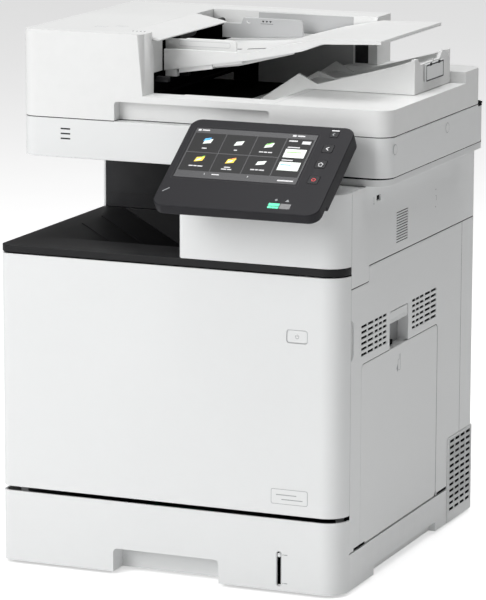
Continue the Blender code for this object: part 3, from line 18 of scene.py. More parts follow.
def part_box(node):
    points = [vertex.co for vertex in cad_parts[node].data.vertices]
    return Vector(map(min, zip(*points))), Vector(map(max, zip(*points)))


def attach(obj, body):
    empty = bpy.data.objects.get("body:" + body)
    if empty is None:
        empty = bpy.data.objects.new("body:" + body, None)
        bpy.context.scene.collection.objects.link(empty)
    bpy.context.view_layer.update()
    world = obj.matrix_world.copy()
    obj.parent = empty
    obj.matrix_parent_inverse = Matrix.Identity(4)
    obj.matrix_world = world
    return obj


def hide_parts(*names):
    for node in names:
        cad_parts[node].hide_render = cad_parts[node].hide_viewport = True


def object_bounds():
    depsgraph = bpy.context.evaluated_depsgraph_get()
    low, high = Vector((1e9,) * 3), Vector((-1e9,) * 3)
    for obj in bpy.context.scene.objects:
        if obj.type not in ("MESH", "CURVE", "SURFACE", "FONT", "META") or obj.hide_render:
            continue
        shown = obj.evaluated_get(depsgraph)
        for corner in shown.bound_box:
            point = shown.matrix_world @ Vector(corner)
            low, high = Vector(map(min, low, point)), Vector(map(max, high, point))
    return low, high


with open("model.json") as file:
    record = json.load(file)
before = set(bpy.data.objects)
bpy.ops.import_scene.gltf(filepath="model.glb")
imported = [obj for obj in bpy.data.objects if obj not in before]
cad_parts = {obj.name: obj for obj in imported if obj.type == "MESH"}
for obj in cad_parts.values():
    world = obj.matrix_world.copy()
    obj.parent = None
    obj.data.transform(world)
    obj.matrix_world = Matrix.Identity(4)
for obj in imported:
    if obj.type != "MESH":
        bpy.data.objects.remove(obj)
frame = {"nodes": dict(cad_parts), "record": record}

Span = tuple[float, float]
Point = tuple[float, float]
Colour = tuple[float, float, float]

LOG = logging.getLogger("photocopier")
CAD_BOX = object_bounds()
MM = 0.001
BODY_OF = {node: body for body, nodes in frame["record"]["behaviour"]["bodies"].items() for node in nodes}
SLOT_OF = {part["node"]: part["material_slot"] for part in frame["record"]["subparts"]}


class Plane(Enum):
    """The two working axes that an outline is drawn in, and the one it is given depth along."""

    XY = Matrix(((1, 0, 0, 0), (0, 1, 0, 0), (0, 0, 1, 0), (0, 0, 0, 1)))
    XZ = Matrix(((1, 0, 0, 0), (0, 0, 1, 0), (0, 1, 0, 0), (0, 0, 0, 1)))
    YZ = Matrix(((0, 0, 1, 0), (1, 0, 0, 0), (0, 1, 0, 0), (0, 0, 0, 1)))


class Axis(Enum):
    """A direction that a round piece's axis takes."""

    X = Matrix.Rotation(math.radians(90.0), 4, "Y")
    Y = Matrix.Rotation(math.radians(-90.0), 4, "X")
    Z = Matrix.Identity(4)


@dataclass(frozen=True)
class Extent:
    """The limits of a node in the working axes, in millimetres."""

    x: Span
    y: Span
    z: Span

    @classmethod
    def of(cls, node: str) -> "Extent":
        """Reads a node's limits from the frame.

        Args:
            node: The node's name.

        Returns:
            Its lowest and highest X, Y and Z.
        """
        low, high = (DATUM.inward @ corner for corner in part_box(node))
        return cls((low.x, high.x), (low.y, high.y), (low.z, high.z))


class Datum:
    """Where the working axes lie in the frame."""

    def __init__(self, node: str) -> None:
        """Puts X 0 in the middle of a node and Y 0 on its front.

        Args:
            node: The node that the working axes are laid on.
        """
        low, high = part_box(node)
        origin = Vector(((low.x + high.x) / 2, low.y, 0.0))
        self.outward = Matrix.Translation(origin) @ Matrix.Scale(MM, 4)
        self.inward = self.outward.inverted()


DATUM = Datum("front_cover")


# Shader building ------------------------------------------------------------------------------


class Graph:
    """A node tree under construction."""

    def __init__(self, tree: bpy.types.NodeTree) -> None:
        """Takes the tree that nodes are added to."""
        self.tree = tree

    def add(self, kind: str, inputs: Optional[dict] = None, **settings: object) -> bpy.types.Node:
        """Adds a node.

        Args:
            kind: The node's type name.
            inputs: Values or sockets for its inputs, by name or number.
            settings: Attributes to set on it.

        Returns:
            The new node.
        """
        node = self.tree.nodes.new(kind)
        for name, value in settings.items():
            setattr(node, name, value)
        for name, value in (inputs or {}).items():
            if isinstance(value, bpy.types.NodeSocket):
                self.tree.links.new(value, node.inputs[name])
            else:
                node.inputs[name].default_value = value
        return node

    def math(self, operation: str, first: object, second: object = 0.0) -> bpy.types.NodeSocket:
        """Adds a Math node and returns its result."""
        return self.add("ShaderNodeMath", {0: first, 1: second}, operation=operation).outputs[0]

    def vary(self, level: object, noise: bpy.types.NodeSocket, amount: object) -> bpy.types.NodeSocket:
        """Moves a level up and down by an amount, as a noise strays from its middle."""
        return self.math("ADD", level, self.math("MULTIPLY", self.math("SUBTRACT", noise, 0.5), amount))

    def noise(self, scale: object, detail: float, place: bpy.types.NodeSocket) -> bpy.types.NodeSocket:
        """Adds a Noise texture and returns its value."""
        inputs = {"Vector": place, "Scale": scale, "Detail": detail}
        return self.add("ShaderNodeTexNoise", inputs).outputs["Fac"]

    def spread(self, value: bpy.types.NodeSocket, source: Span, target: Span) -> bpy.types.NodeSocket:
        """Maps one range of a value onto another.

        Args:
            value: The value.
            source: The range that is read.
            target: The range that comes out, clamped.

        Returns:
            The mapped value's socket.
        """
        inputs = {"Value": value, 1: source[0], 2: source[1], 3: target[0], 4: target[1]}
        return self.add("ShaderNodeMapRange", inputs).outputs[0]

    def mix(self, factor: object, first: object, second: object, blend: str = "MIX") -> bpy.types.NodeSocket:
        """Mixes two colours.

        Args:
            factor: The share of the second one.
            first: The first colour or socket.
            second: The second colour or socket.
            blend: The blend mode.

        Returns:
            The mixed colour's socket.
        """
        inputs = {0: factor, 6: first, 7: second}
        return self.add("ShaderNodeMix", inputs, data_type="RGBA", blend_type=blend).outputs[2]


class Effect:
    """A shader node group that several finishes share."""

    made: dict[str, bpy.types.NodeTree] = {}
    name = ""
    inputs: dict[str, str] = {}
    outputs: dict[str, str] = {}

    @classmethod
    def group(cls) -> bpy.types.NodeTree:
        """Returns the effect's node group, building it the first time."""
        if cls.name not in Effect.made:
            tree = bpy.data.node_groups.new(cls.name, "ShaderNodeTree")
            for direction, sockets in (("INPUT", cls.inputs), ("OUTPUT", cls.outputs)):
                for name, kind in sockets.items():
                    tree.interface.new_socket(name, in_out=direction, socket_type=f"NodeSocket{kind}")
            graph = Graph(tree)
            given = graph.add("NodeGroupInput")
            graph.add("NodeGroupOutput", cls.wire(graph, given.outputs))
            Effect.made[cls.name] = tree
        return Effect.made[cls.name]

    @classmethod
    def wire(cls, graph: Graph, given: bpy.types.NodeOutputs) -> dict[str, bpy.types.NodeSocket]:
        """Builds the group's inside.

        Args:
            graph: The group's tree.
            given: The group's inputs.

        Returns:
            The sockets for the group's outputs, by name.
        """
        raise NotImplementedError

    @classmethod
    def place(cls, graph: Graph, **inputs: object) -> bpy.types.NodeOutputs:
        """Places the group in a material.

        Args:
            graph: The material's tree.
            inputs: Values or sockets for the group's inputs, with _ for a space.

        Returns:
            The group's outputs.
        """
        named = {name.replace("_", " ").title(): value for name, value in inputs.items()}
        node = graph.add("ShaderNodeGroup", node_tree=cls.group())
        for name, value in named.items():
            if isinstance(value, bpy.types.NodeSocket):
                graph.tree.links.new(value, node.inputs[name])
            else:
                node.inputs[name].default_value = value
        return node.outputs


class MouldGrain(Effect):
    """The fine eroded grain of a mould, with slow changes of tone and gloss over a panel."""

    name = "mould_grain"
    inputs = {"Colour": "Color", "Scale": "Float", "Tone": "Float", "Gloss": "Float"}
    outputs = {"Colour": "Color", "Roughness": "Float", "Height": "Float"}

    @classmethod
    def wire(cls, graph: Graph, given: bpy.types.NodeOutputs) -> dict[str, bpy.types.NodeSocket]:
        """Builds the group's inside; see Effect.wire."""
        place = graph.add("ShaderNodeTexCoord").outputs["Object"]
        fine = graph.noise(given["Scale"], 3.0, place)
        broad = graph.noise(7.0, 2.0, place)
        speck = graph.noise(900.0, 1.0, place)
        level = graph.vary(graph.vary(1.0, broad, given["Tone"]), speck, 0.02)
        tinted = graph.add("ShaderNodeVectorMath", {0: given["Colour"], 1: level}, operation="MULTIPLY")
        rough = graph.vary(graph.vary(given["Gloss"], fine, 0.18), broad, 0.10)
        return {"Colour": tinted.outputs[0], "Roughness": rough, "Height": fine}


class EdgeWear(Effect):
    """Paler, rubbed colour along a piece's outer edges."""

    name = "edge_wear"
    inputs = {"Colour": "Color", "Worn Colour": "Color", "Amount": "Float"}
    outputs = {"Colour": "Color"}

    @classmethod
    def wire(cls, graph: Graph, given: bpy.types.NodeOutputs) -> dict[str, bpy.types.NodeSocket]:
        """Builds the group's inside; see Effect.wire."""
        place = graph.add("ShaderNodeTexCoord").outputs["Object"]
        point = graph.add("ShaderNodeNewGeometry").outputs["Pointiness"]
        rubbed = graph.spread(point, (0.52, 0.60), (0.0, 1.0))
        patchy = graph.spread(graph.noise(60.0, 4.0, place), (0.35, 0.65), (0.3, 1.0))
        mask = graph.math("MULTIPLY", graph.math("MULTIPLY", rubbed, patchy), given["Amount"])
        return {"Colour": graph.mix(mask, given["Colour"], given["Worn Colour"])}


class SettledDust(Effect):
    """A thin film of dust and scuffs on what faces up."""

    name = "settled_dust"
    inputs = {"Colour": "Color", "Roughness": "Float", "Amount": "Float"}
    outputs = {"Colour": "Color", "Roughness": "Float"}

    @classmethod
    def wire(cls, graph: Graph, given: bpy.types.NodeOutputs) -> dict[str, bpy.types.NodeSocket]:
        """Builds the group's inside; see Effect.wire."""
        place = graph.add("ShaderNodeTexCoord").outputs["Object"]
        normal = graph.add("ShaderNodeNewGeometry").outputs["Normal"]
        rise = graph.add("ShaderNodeSeparateXYZ", {0: normal}).outputs["Z"]
        facing = graph.spread(rise, (0.4, 1.0), (0.0, 1.0))
        cloudy = graph.spread(graph.noise(26.0, 6.0, place), (0.35, 0.75), (0.2, 1.0))
        mask = graph.math("MULTIPLY", graph.math("MULTIPLY", facing, cloudy), given["Amount"])
        rough = graph.math("ADD", given["Roughness"], graph.math("MULTIPLY", mask, 0.4))
        return {"Colour": graph.mix(mask, given["Colour"], (0.55, 0.54, 0.52, 1.0)), "Roughness": rough}


class RolledGrain(Effect):
    """Streaks of rolled sheet along one direction, with faint crystal patches."""

    name = "rolled_grain"
    inputs = {"Colour": "Color", "Gloss": "Float"}
    outputs = {"Colour": "Color", "Roughness": "Float", "Height": "Float"}

    @classmethod
    def wire(cls, graph: Graph, given: bpy.types.NodeOutputs) -> dict[str, bpy.types.NodeSocket]:
        """Builds the group's inside; see Effect.wire."""
        place = graph.add("ShaderNodeTexCoord").outputs["Object"]
        drawn = graph.add("ShaderNodeMapping", {"Vector": place, "Scale": (1400.0, 30.0, 1400.0)})
        streak = graph.noise(1.0, 4.0, drawn.outputs[0])
        crystal = graph.add("ShaderNodeTexVoronoi", {"Vector": place, "Scale": 90.0}).outputs["Color"]
        patch = graph.add("ShaderNodeSeparateColor", {0: crystal}).outputs[0]
        level = graph.math("ADD", graph.math("MULTIPLY", streak, 0.25), graph.math("MULTIPLY", patch, 0.15))
        level = graph.math("ADD", level, 0.80)
        tinted = graph.add("ShaderNodeVectorMath", {0: given["Colour"], 1: level}, operation="MULTIPLY")
        rough = graph.math("ADD", given["Gloss"], graph.math("MULTIPLY", patch, 0.12))
        return {"Colour": tinted.outputs[0], "Roughness": rough, "Height": streak}


# Finishes ---------------------------------------------------------------------------------------


@dataclass(frozen=True)
class Finish:
    """A moulded or printed surface, with its grain, worn edges and dust."""

    name: str
    colour: Colour
    gloss: float
    scale: float = 2200.0
    depth: float = 0.010
    tone: float = 0.03
    wear: float = 0.0
    dust: float = 0.0
    coat: float = 0.0
    glow: float = 0.0
    specular: float = 0.5

    def material(self) -> bpy.types.Material:
        """Returns the finish's material, building it the first time."""
        found = bpy.data.materials.get(self.name)
        if found is not None:
            return found
        material = bpy.data.materials.new(self.name)
        material.use_nodes = True
        graph = Graph(material.node_tree)
        shader = material.node_tree.nodes["Principled BSDF"]
        self.dress(graph, shader)
        material.diffuse_color = (*self.colour, 1.0)
        return material

    def dress(self, graph: Graph, shader: bpy.types.Node) -> None:
        """Wires the surface to the shader.

        Args:
            graph: The material's tree.
            shader: Its Principled BSDF.
        """
        colour = (*self.colour, 1.0)
        grain = MouldGrain.place(graph, colour=colour, scale=self.scale, tone=self.tone, gloss=self.gloss)
        worn = tuple(min(1.0, 0.25 + 0.85 * part) for part in self.colour)
        edges = EdgeWear.place(graph, colour=grain["Colour"], worn_colour=(*worn, 1.0), amount=self.wear)
        dust = SettledDust.place(
            graph, colour=edges["Colour"], roughness=grain["Roughness"], amount=self.dust
        )
        graph.tree.links.new(dust["Colour"], shader.inputs["Base Color"])
        graph.tree.links.new(dust["Roughness"], shader.inputs["Roughness"])
        self.bump(graph, shader, grain["Height"])
        shader.inputs["Coat Weight"].default_value = self.coat
        shader.inputs["Coat Roughness"].default_value = 0.05
        shader.inputs["Specular IOR Level"].default_value = self.specular
        if self.glow:
            graph.tree.links.new(dust["Colour"], shader.inputs["Emission Color"])
            shader.inputs["Emission Strength"].default_value = self.glow

    def bump(self, graph: Graph, shader: bpy.types.Node, height: bpy.types.NodeSocket) -> None:
        """Raises the surface by its grain.

        Args:
            graph: The material's tree.
            shader: Its Principled BSDF.
            height: The grain's height.
        """
        inputs = {"Height": height, "Distance": self.depth * MM, "Strength": 0.6}
        bump = graph.add("ShaderNodeBump", inputs)
        graph.tree.links.new(bump.outputs[0], shader.inputs["Normal"])


@dataclass(frozen=True)
class SheetMetal(Finish):
    """Zinc-plated or polished sheet."""

    def dress(self, graph: Graph, shader: bpy.types.Node) -> None:
        """Wires the surface to the shader; see Finish.dress."""
        grain = RolledGrain.place(graph, colour=(*self.colour, 1.0), gloss=self.gloss)
        dust = SettledDust.place(
            graph, colour=grain["Colour"], roughness=grain["Roughness"], amount=self.dust
        )
        graph.tree.links.new(dust["Colour"], shader.inputs["Base Color"])
        graph.tree.links.new(dust["Roughness"], shader.inputs["Roughness"])
        self.bump(graph, shader, grain["Height"])
        shader.inputs["Metallic"].default_value = 1.0


@dataclass(frozen=True)
class ClearGlass(Finish):
    """Float glass with faint wiping marks."""

    def dress(self, graph: Graph, shader: bpy.types.Node) -> None:
        """Wires the surface to the shader; see Finish.dress."""
        grain = MouldGrain.place(
            graph, colour=(*self.colour, 1.0), scale=self.scale, tone=self.tone, gloss=self.gloss
        )
        graph.tree.links.new(grain["Colour"], shader.inputs["Base Color"])
        graph.tree.links.new(grain["Roughness"], shader.inputs["Roughness"])
        shader.inputs["Transmission Weight"].default_value = 0.85
        shader.inputs["IOR"].default_value = 1.52


WHITE = Finish("white_moulding", (0.80, 0.81, 0.81), 0.42, wear=0.15, dust=0.03)
WARM_WHITE = Finish("feeder_moulding", (0.81, 0.815, 0.81), 0.40, wear=0.15, dust=0.03)
BLACK = Finish(
    "black_moulding", (0.0045, 0.0045, 0.0055), 0.45, depth=0.020, wear=0.04, dust=0.01, specular=0.32
)
CHARCOAL = Finish("charcoal_moulding", (0.011, 0.011, 0.013), 0.48, depth=0.014, wear=0.05, specular=0.32)
PANEL_DARK = Finish("panel_moulding", (0.010, 0.0095, 0.0125), 0.46, depth=0.012, wear=0.04, specular=0.22)
KEY_CAP = Finish("key_cap", (0.008, 0.008, 0.010), 0.30, depth=0.006, specular=0.2)
GREY = Finish("grey_moulding", (0.40, 0.41, 0.42), 0.48, wear=0.1, dust=0.05)
GREEN = Finish("guide_green", (0.05, 0.26, 0.16), 0.45, wear=0.2, dust=0.03)
# Near-black used as painted shade in gaps, slots and hollows.
DARK_VOID = Finish("shadowed_black", (0.003, 0.003, 0.0035), 0.75, specular=0.05)
# Painted shade: a mid grey that darkens the inside of the right cover's latch pocket.
POCKET_SHADE_GREY = Finish("pocket_shade_moulding", (0.30, 0.305, 0.31), 0.55, dust=0.04)
# Painted shade: a grey copy of the white moulding, for the rear document guide and the feeder's rear wall,
# which lie in shade.
PAINTED_SHADE_GREY = Finish("shaded_moulding", (0.50, 0.505, 0.51), 0.50, dust=0.04)
INK_GREY = Finish("grey_ink", (0.33, 0.34, 0.35), 0.50, depth=0.003)
INK_PALE = Finish("pale_ink", (0.60, 0.61, 0.62), 0.50, depth=0.003)
# The white and red inks glow a little: painted light that keeps the printed marks bright.
INK_WHITE = Finish("white_ink", (0.75, 0.75, 0.76), 0.45, depth=0.003, glow=0.15)
INK_RED = Finish("red_ink", (0.65, 0.05, 0.06), 0.45, depth=0.003, glow=0.25)
LAMP_GREEN = Finish("green_lamp", (0.01, 0.62, 0.30), 0.25, depth=0.002, tone=0.25, coat=0.6, glow=0.75)
LAMP_OFF = Finish("lamp_off", (0.055, 0.055, 0.058), 0.20, depth=0.002, coat=0.6)
RUBBER = Finish("ground_rubber", (0.022, 0.022, 0.022), 0.85, scale=1500.0, depth=0.030, dust=0.05)
STEEL = SheetMetal("zinc_sheet", (0.60, 0.61, 0.62), 0.30, dust=0.04)
BRIGHT_STEEL = SheetMetal("polished_steel", (0.72, 0.72, 0.73), 0.16)
GLASS = ClearGlass("platen_glass", (0.86, 0.93, 0.91), 0.03, scale=40.0, tone=0.05)
INK_WHITE_PAD = Finish("white_pad", (0.78, 0.78, 0.77), 0.75, scale=800.0, depth=0.05)
DISPLAY_FIELD = Finish("display_field", (0.013, 0.013, 0.0135), 0.20, depth=0.001, glow=0.35, specular=0.12)
DISPLAY_TEXT = Finish("display_stroke", (0.55, 0.55, 0.56), 0.20, depth=0.001, glow=0.35)
DISPLAY_PAGE = Finish("display_page", (0.72, 0.76, 0.72), 0.20, depth=0.001, glow=0.45)
DISPLAY_YELLOW = Finish("display_yellow", (0.90, 0.60, 0.04), 0.20, depth=0.001, glow=0.45)
DISPLAY_BLUE = Finish("display_blue", (0.05, 0.36, 0.80), 0.20, depth=0.001, glow=0.45)
DISPLAY_GREEN = Finish("display_green", (0.16, 0.62, 0.06), 0.20, depth=0.001, glow=0.45)
DISPLAY_ORANGE = Finish("display_orange", (0.85, 0.22, 0.03), 0.20, depth=0.001, glow=0.45)
SCREEN_GLASS = Finish("screen_glass", (0.004, 0.004, 0.005), 0.22, scale=60.0, depth=0.001, specular=0.06)

SLOT_FINISH = {
    "white_shell": WHITE,
    "grey_plastic": GREY,
    "black_plastic": BLACK,
    "charcoal_plastic": CHARCOAL,
    "key_plastic": KEY_CAP,
    "screen_glass": SCREEN_GLASS,
    "guide_green": GREEN,
    "steel_sheet": STEEL,
    "roller_rubber": RUBBER,
    "foot_rubber": RUBBER,
    "platen_glass": GLASS,
    "toner_yellow": Finish("yellow_cartridge", (0.72, 0.55, 0.03), 0.45, wear=0.1),
    "toner_magenta": Finish("magenta_cartridge", (0.58, 0.03, 0.20), 0.45, wear=0.1),
    "toner_cyan": Finish("cyan_cartridge", (0.02, 0.33, 0.58), 0.45, wear=0.1),
    "toner_black": Finish("black_cartridge", (0.03, 0.03, 0.03), 0.45, wear=0.1),
}


# Moulds -----------------------------------------------------------------------------------------


def arc(centre: Point, radius: float, start: float, end: float, steps: int = 10) -> list[Point]:
    """Points on an arc, in degrees, both ends included."""
    turns = (math.radians(start + (end - start) * step / steps) for step in range(steps + 1))
    return [(centre[0] + radius * math.cos(turn), centre[1] + radius * math.sin(turn)) for turn in turns]


def rounded(first: Span, second: Span, radius: float, steps: int = 6) -> list[Point]:
    """A rectangle's outline with round corners.

    Args:
        first: Limits along the outline's first axis.
        second: Limits along its second axis.
        radius: The corners' radius.
        steps: The number of steps round each corner.

    Returns:
        The outline's points.
    """
    low, high = (first[0] + radius, second[0] + radius), (first[1] - radius, second[1] - radius)
    centres = ((low[0], low[1]), (high[0], low[1]), (high[0], high[1]), (low[0], high[1]))
    points: list[Point] = []
    for quarter, centre in enumerate(centres):
        points += arc(centre, radius, 180 + 90 * quarter, 270 + 90 * quarter, steps)
    return points


def framed(first: Span, second: Span, radius: float, wall: float) -> tuple[list[Point], list[Point]]:
    """The outer and inner outlines of a round-cornered frame with walls of one width."""
    inside = ((first[0] + wall, first[1] - wall), (second[0] + wall, second[1] - wall))
    return rounded(first, second, radius), rounded(*inside, radius - wall)


class Mould:
    """A solid being shaped in the working axes."""

    def __init__(self) -> None:
        """Starts with nothing in the mould."""
        self.bm = bmesh.new()

    @classmethod
    def of_node(cls, node: str) -> "Mould":
        """Starts from a node's own solid, with its flat faces whole again.

        Args:
            node: The node's name.

        Returns:
            The mould.
        """
        mould = cls()
        mould.bm.from_mesh(frame["nodes"][node].data)
        bmesh.ops.transform(mould.bm, matrix=DATUM.inward, verts=mould.bm.verts)
        bmesh.ops.remove_doubles(mould.bm, verts=mould.bm.verts, dist=0.002)
        flat = math.radians(0.8)
        bmesh.ops.dissolve_limit(
            mould.bm, angle_limit=flat, verts=mould.bm.verts, edges=mould.bm.edges
        )
        return mould

    def add(self, other: "Mould") -> "Mould":
        """Puts another mould's shape in this one, without joining their surfaces."""
        mesh = bpy.data.meshes.new("loose")
        other.bm.to_mesh(mesh)
        self.bm.from_mesh(mesh)
        bpy.data.meshes.remove(mesh)
        return self

    def box(self, x: Span, y: Span, z: Span) -> "Mould":
        """Adds a box between pairs of limits."""
        size = Vector((x[1] - x[0], y[1] - y[0], z[1] - z[0]))
        middle = Vector((x[1] + x[0], y[1] + y[0], z[1] + z[0])) / 2
        matrix = Matrix.Translation(middle) @ Matrix.Diagonal((*size, 1.0))
        bmesh.ops.create_cube(self.bm, size=1.0, matrix=matrix)
        return self

    def prism(self, plane: Plane, outline: Sequence[Point], low: float, high: float) -> "Mould":
        """Adds an outline given depth along the axis that its plane leaves out.

        Args:
            plane: The plane that the outline is drawn in.
            outline: Its points.
            low: Where the depth starts.
            high: Where it ends.

        Returns:
            The mould.
        """
        made = [self.bm.verts.new(plane.value @ Vector((*point, low))) for point in outline]
        face = self.bm.faces.new(made)
        grown = bmesh.ops.extrude_face_region(self.bm, geom=[face])
        moved = [item for item in grown["geom"] if isinstance(item, bmesh.types.BMVert)]
        step = plane.value.to_3x3() @ Vector((0.0, 0.0, high - low))
        bmesh.ops.translate(self.bm, verts=moved, vec=step)
        faces = {face for vert in made + moved for face in vert.link_faces}
        bmesh.ops.recalc_face_normals(self.bm, faces=list(faces))
        return self

    def lathe(
        self, axis: Axis, centre: Sequence[float], profile: Sequence[Point], sides: int = 40
    ) -> "Mould":
        """Adds a turned shape.

        Args:
            axis: The axis that it is turned about.
            centre: A point on the axis.
            profile: Pairs of radius and distance along the axis. The first and last pairs lie on
                the axis, or the profile closes into a ring.
            sides: The number of steps round the axis.

        Returns:
            The mould.
        """
        matrix = Matrix.Translation(Vector(centre)) @ axis.value
        solid = profile[0][0] < 1e-6 and profile[-1][0] < 1e-6
        rings = []
        for radius, along in profile:
            if radius < 1e-6:
                rings.append([self.bm.verts.new(matrix @ Vector((0.0, 0.0, along)))])
                continue
            turns = (2 * math.pi * side / sides for side in range(sides))
            spots = (Vector((radius * math.cos(turn), radius * math.sin(turn), along)) for turn in turns)
            rings.append([self.bm.verts.new(matrix @ spot) for spot in spots])
        pairs = list(zip(rings, rings[1:] if solid else rings[1:] + rings[:1]))
        faces = []
        for lower, upper in pairs:
            for side in range(sides):
                after = (side + 1) % sides
                corners = [lower[side % len(lower)], lower[after % len(lower)]]
                corners += [upper[after % len(upper)], upper[side % len(upper)]]
                faces.append(self.bm.faces.new(list(dict.fromkeys(corners))))
        bmesh.ops.recalc_face_normals(self.bm, faces=faces)
        return self

    def ring(self, axis: Axis, centre: Sequence[float], outer: float, inner: float, length: float) -> "Mould":
        """Adds a ring or tube, centred on a point."""
        half = length / 2
        edge = min(0.15, (outer - inner) / 4, length / 4)
        profile = [(inner, -half), (outer - edge, -half), (outer, -half + edge)]
        profile += [(outer, half - edge), (outer - edge, half), (inner, half)]
        return self.lathe(axis, centre, profile)

    def _loose(self) -> bpy.types.Object:
        """An object that holds a copy of the mould's mesh, for a Boolean."""
        mesh = bpy.data.meshes.new("loose")
        self.bm.to_mesh(mesh)
        holder = bpy.data.objects.new("loose", mesh)
        bpy.context.scene.collection.objects.link(holder)
        return holder

    def combine(self, operation: str, others: Iterable["Mould"]) -> "Mould":
        """Joins or cuts the mould with others.

        Args:
            operation: UNION or DIFFERENCE.
            others: The other moulds.

        Returns:
            The mould.
        """
        host = self._loose()
        tools = [other._loose() for other in others]
        for tool in tools:
            modifier = host.modifiers.new("shape", "BOOLEAN")
            modifier.operation = operation
            modifier.object = tool
        graph = bpy.context.evaluated_depsgraph_get()
        mesh = bpy.data.meshes.new_from_object(host.evaluated_get(graph))
        self.bm.clear()
        self.bm.from_mesh(mesh)
        for item in [host, *tools]:
            bpy.data.objects.remove(item, do_unlink=True)
        return self

    def cut(self, *others: "Mould") -> "Mould":
        """Cuts other moulds out of this one."""
        return self.combine("DIFFERENCE", others)

    def join(self, *others: "Mould") -> "Mould":
        """Joins other moulds to this one."""
        return self.combine("UNION", others)

    def soften(self, width: float, segments: int = 2, angle: float = 32.0) -> "Mould":
        """Rounds the edges that turn by more than an angle.

        Args:
            width: How far the rounding reaches on each side.
            segments: The number of steps in it.
            angle: The least turn, in degrees.

        Returns:
            The mould.
        """
        least = math.radians(angle)
        edges = [
            edge for edge in self.bm.edges
            if edge.is_manifold and edge.calc_face_angle(0.0) > least
        ]
        bmesh.ops.bevel(
            self.bm, geom=edges, offset=width, segments=segments, affect="EDGES", profile=0.5,
            clamp_overlap=True,
        )
        return self

    def round_within(self, x: Span, y: Span, z: Span, width: float, segments: int = 6) -> "Mould":
        """Rounds the sharp edges that lie wholly inside a box.

        Args:
            x: The box's limits along X.
            y: Its limits along Y.
            z: Its limits along Z.
            width: The rounding's radius.
            segments: The number of steps in it.

        Returns:
            The mould.
        """
        limits = (x, y, z)
        edges = [
            edge for edge in self.bm.edges
            if edge.is_manifold and edge.calc_face_angle(0.0) > math.radians(32.0)
            and all(
                limits[i][0] <= vert.co[i] <= limits[i][1] for vert in edge.verts for i in range(3)
            )
        ]
        bmesh.ops.bevel(
            self.bm, geom=edges, offset=width, segments=segments, affect="EDGES", profile=0.5
        )
        return self

    def turned(self, matrix: Matrix) -> "Mould":
        """Moves the whole mould by a matrix."""
        bmesh.ops.transform(self.bm, matrix=matrix, verts=self.bm.verts)
        return self

    def piece(
        self, name: str, body: str, finish: Finish, slot: Optional[str] = None, replaces: Sequence[str] = ()
    ) -> bpy.types.Object:
        """Finishes the mould as a piece on a body.

        Args:
            name: The piece's name.
            body: The body that it moves with.
            finish: Its surface.
            slot: Not used.
            replaces: The nodes that it stands for.

        Returns:
            The piece.
        """
        bmesh.ops.transform(self.bm, matrix=DATUM.outward, verts=self.bm.verts)
        mesh = bpy.data.meshes.new(name)
        self.bm.to_mesh(mesh)
        self.bm.free()
        mesh.shade_smooth()
        mesh.set_sharp_from_angle(angle=math.radians(46.0))
        mesh.materials.append(finish.material())
        made = bpy.data.objects.new(name, mesh)
        bpy.context.scene.collection.objects.link(made)
        weighted = made.modifiers.new("even_shading", "WEIGHTED_NORMAL")
        weighted.keep_sharp = True
        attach(made, body)
        if replaces:
            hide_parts(*replaces)
        LOG.info("%s on %s: %d faces", name, body, len(mesh.polygons))
        return made


class SubAssembly:
    """A group of pieces that are built and dressed together."""

    def build(self) -> None:
        """Builds every piece of the group."""
        raise NotImplementedError

    def shell(
        self, node: str, edge: float = 0.5, finish: Optional[Finish] = None, mould: Optional[Mould] = None,
        segments: int = 2,
    ) -> bpy.types.Object:
        """A node's solid with rounded edges, in its slot's finish.

        Args:
            node: The node that it stands for.
            edge: How far its edges are rounded.
            finish: The surface, if it isn't the slot's usual one.
            mould: The shape, if it isn't the node's own.
            segments: The number of steps in the rounding.

        Returns:
            The piece.
        """
        slot = SLOT_OF[node]
        shape = mould or Mould.of_node(node)
        if edge:
            shape.soften(edge, segments)
        surface = finish or SLOT_FINISH[slot]
        return shape.piece(f"{node}_shell", BODY_OF[node], surface, slot, (node,))

    def part(self, name: str, near: str, mould: Mould, finish: Finish) -> bpy.types.Object:
        """A detail that moves with a node.

        Args:
            name: The detail's name.
            near: The node that it is fixed to.
            mould: Its shape.
            finish: Its surface.

        Returns:
            The piece.
        """
        return mould.piece(name, BODY_OF[near], finish, SLOT_OF[near])

    def shells(self, nodes: Iterable[str], edge: float = 0.4) -> None:
        """Builds several nodes' shells alike."""
        for node in nodes:
            self.shell(node, edge)


@dataclass
class Base(SubAssembly):
    """The base with its skirts and feet."""

    # Heights of the painted shade strip behind the base's front seam.
    shade_band: Span = (93.4, 96.4)

    def build(self) -> None:
        """Builds the base's pieces."""
        self.shell("base_frame", 0.6)
        for side in ("left", "right"):
            for end in ("front", "rear"):
                self.shell(f"foot_{end}_{side}", 0.8)
        base = Extent.of("base_frame")
        shade = Mould().box((base.x[0] + 14, base.x[1] - 14), (base.y[0] - 4.5, base.y[0] - 3.2), self.shade_band)
        self.part("seam_shade", "base_frame", shade, DARK_VOID)


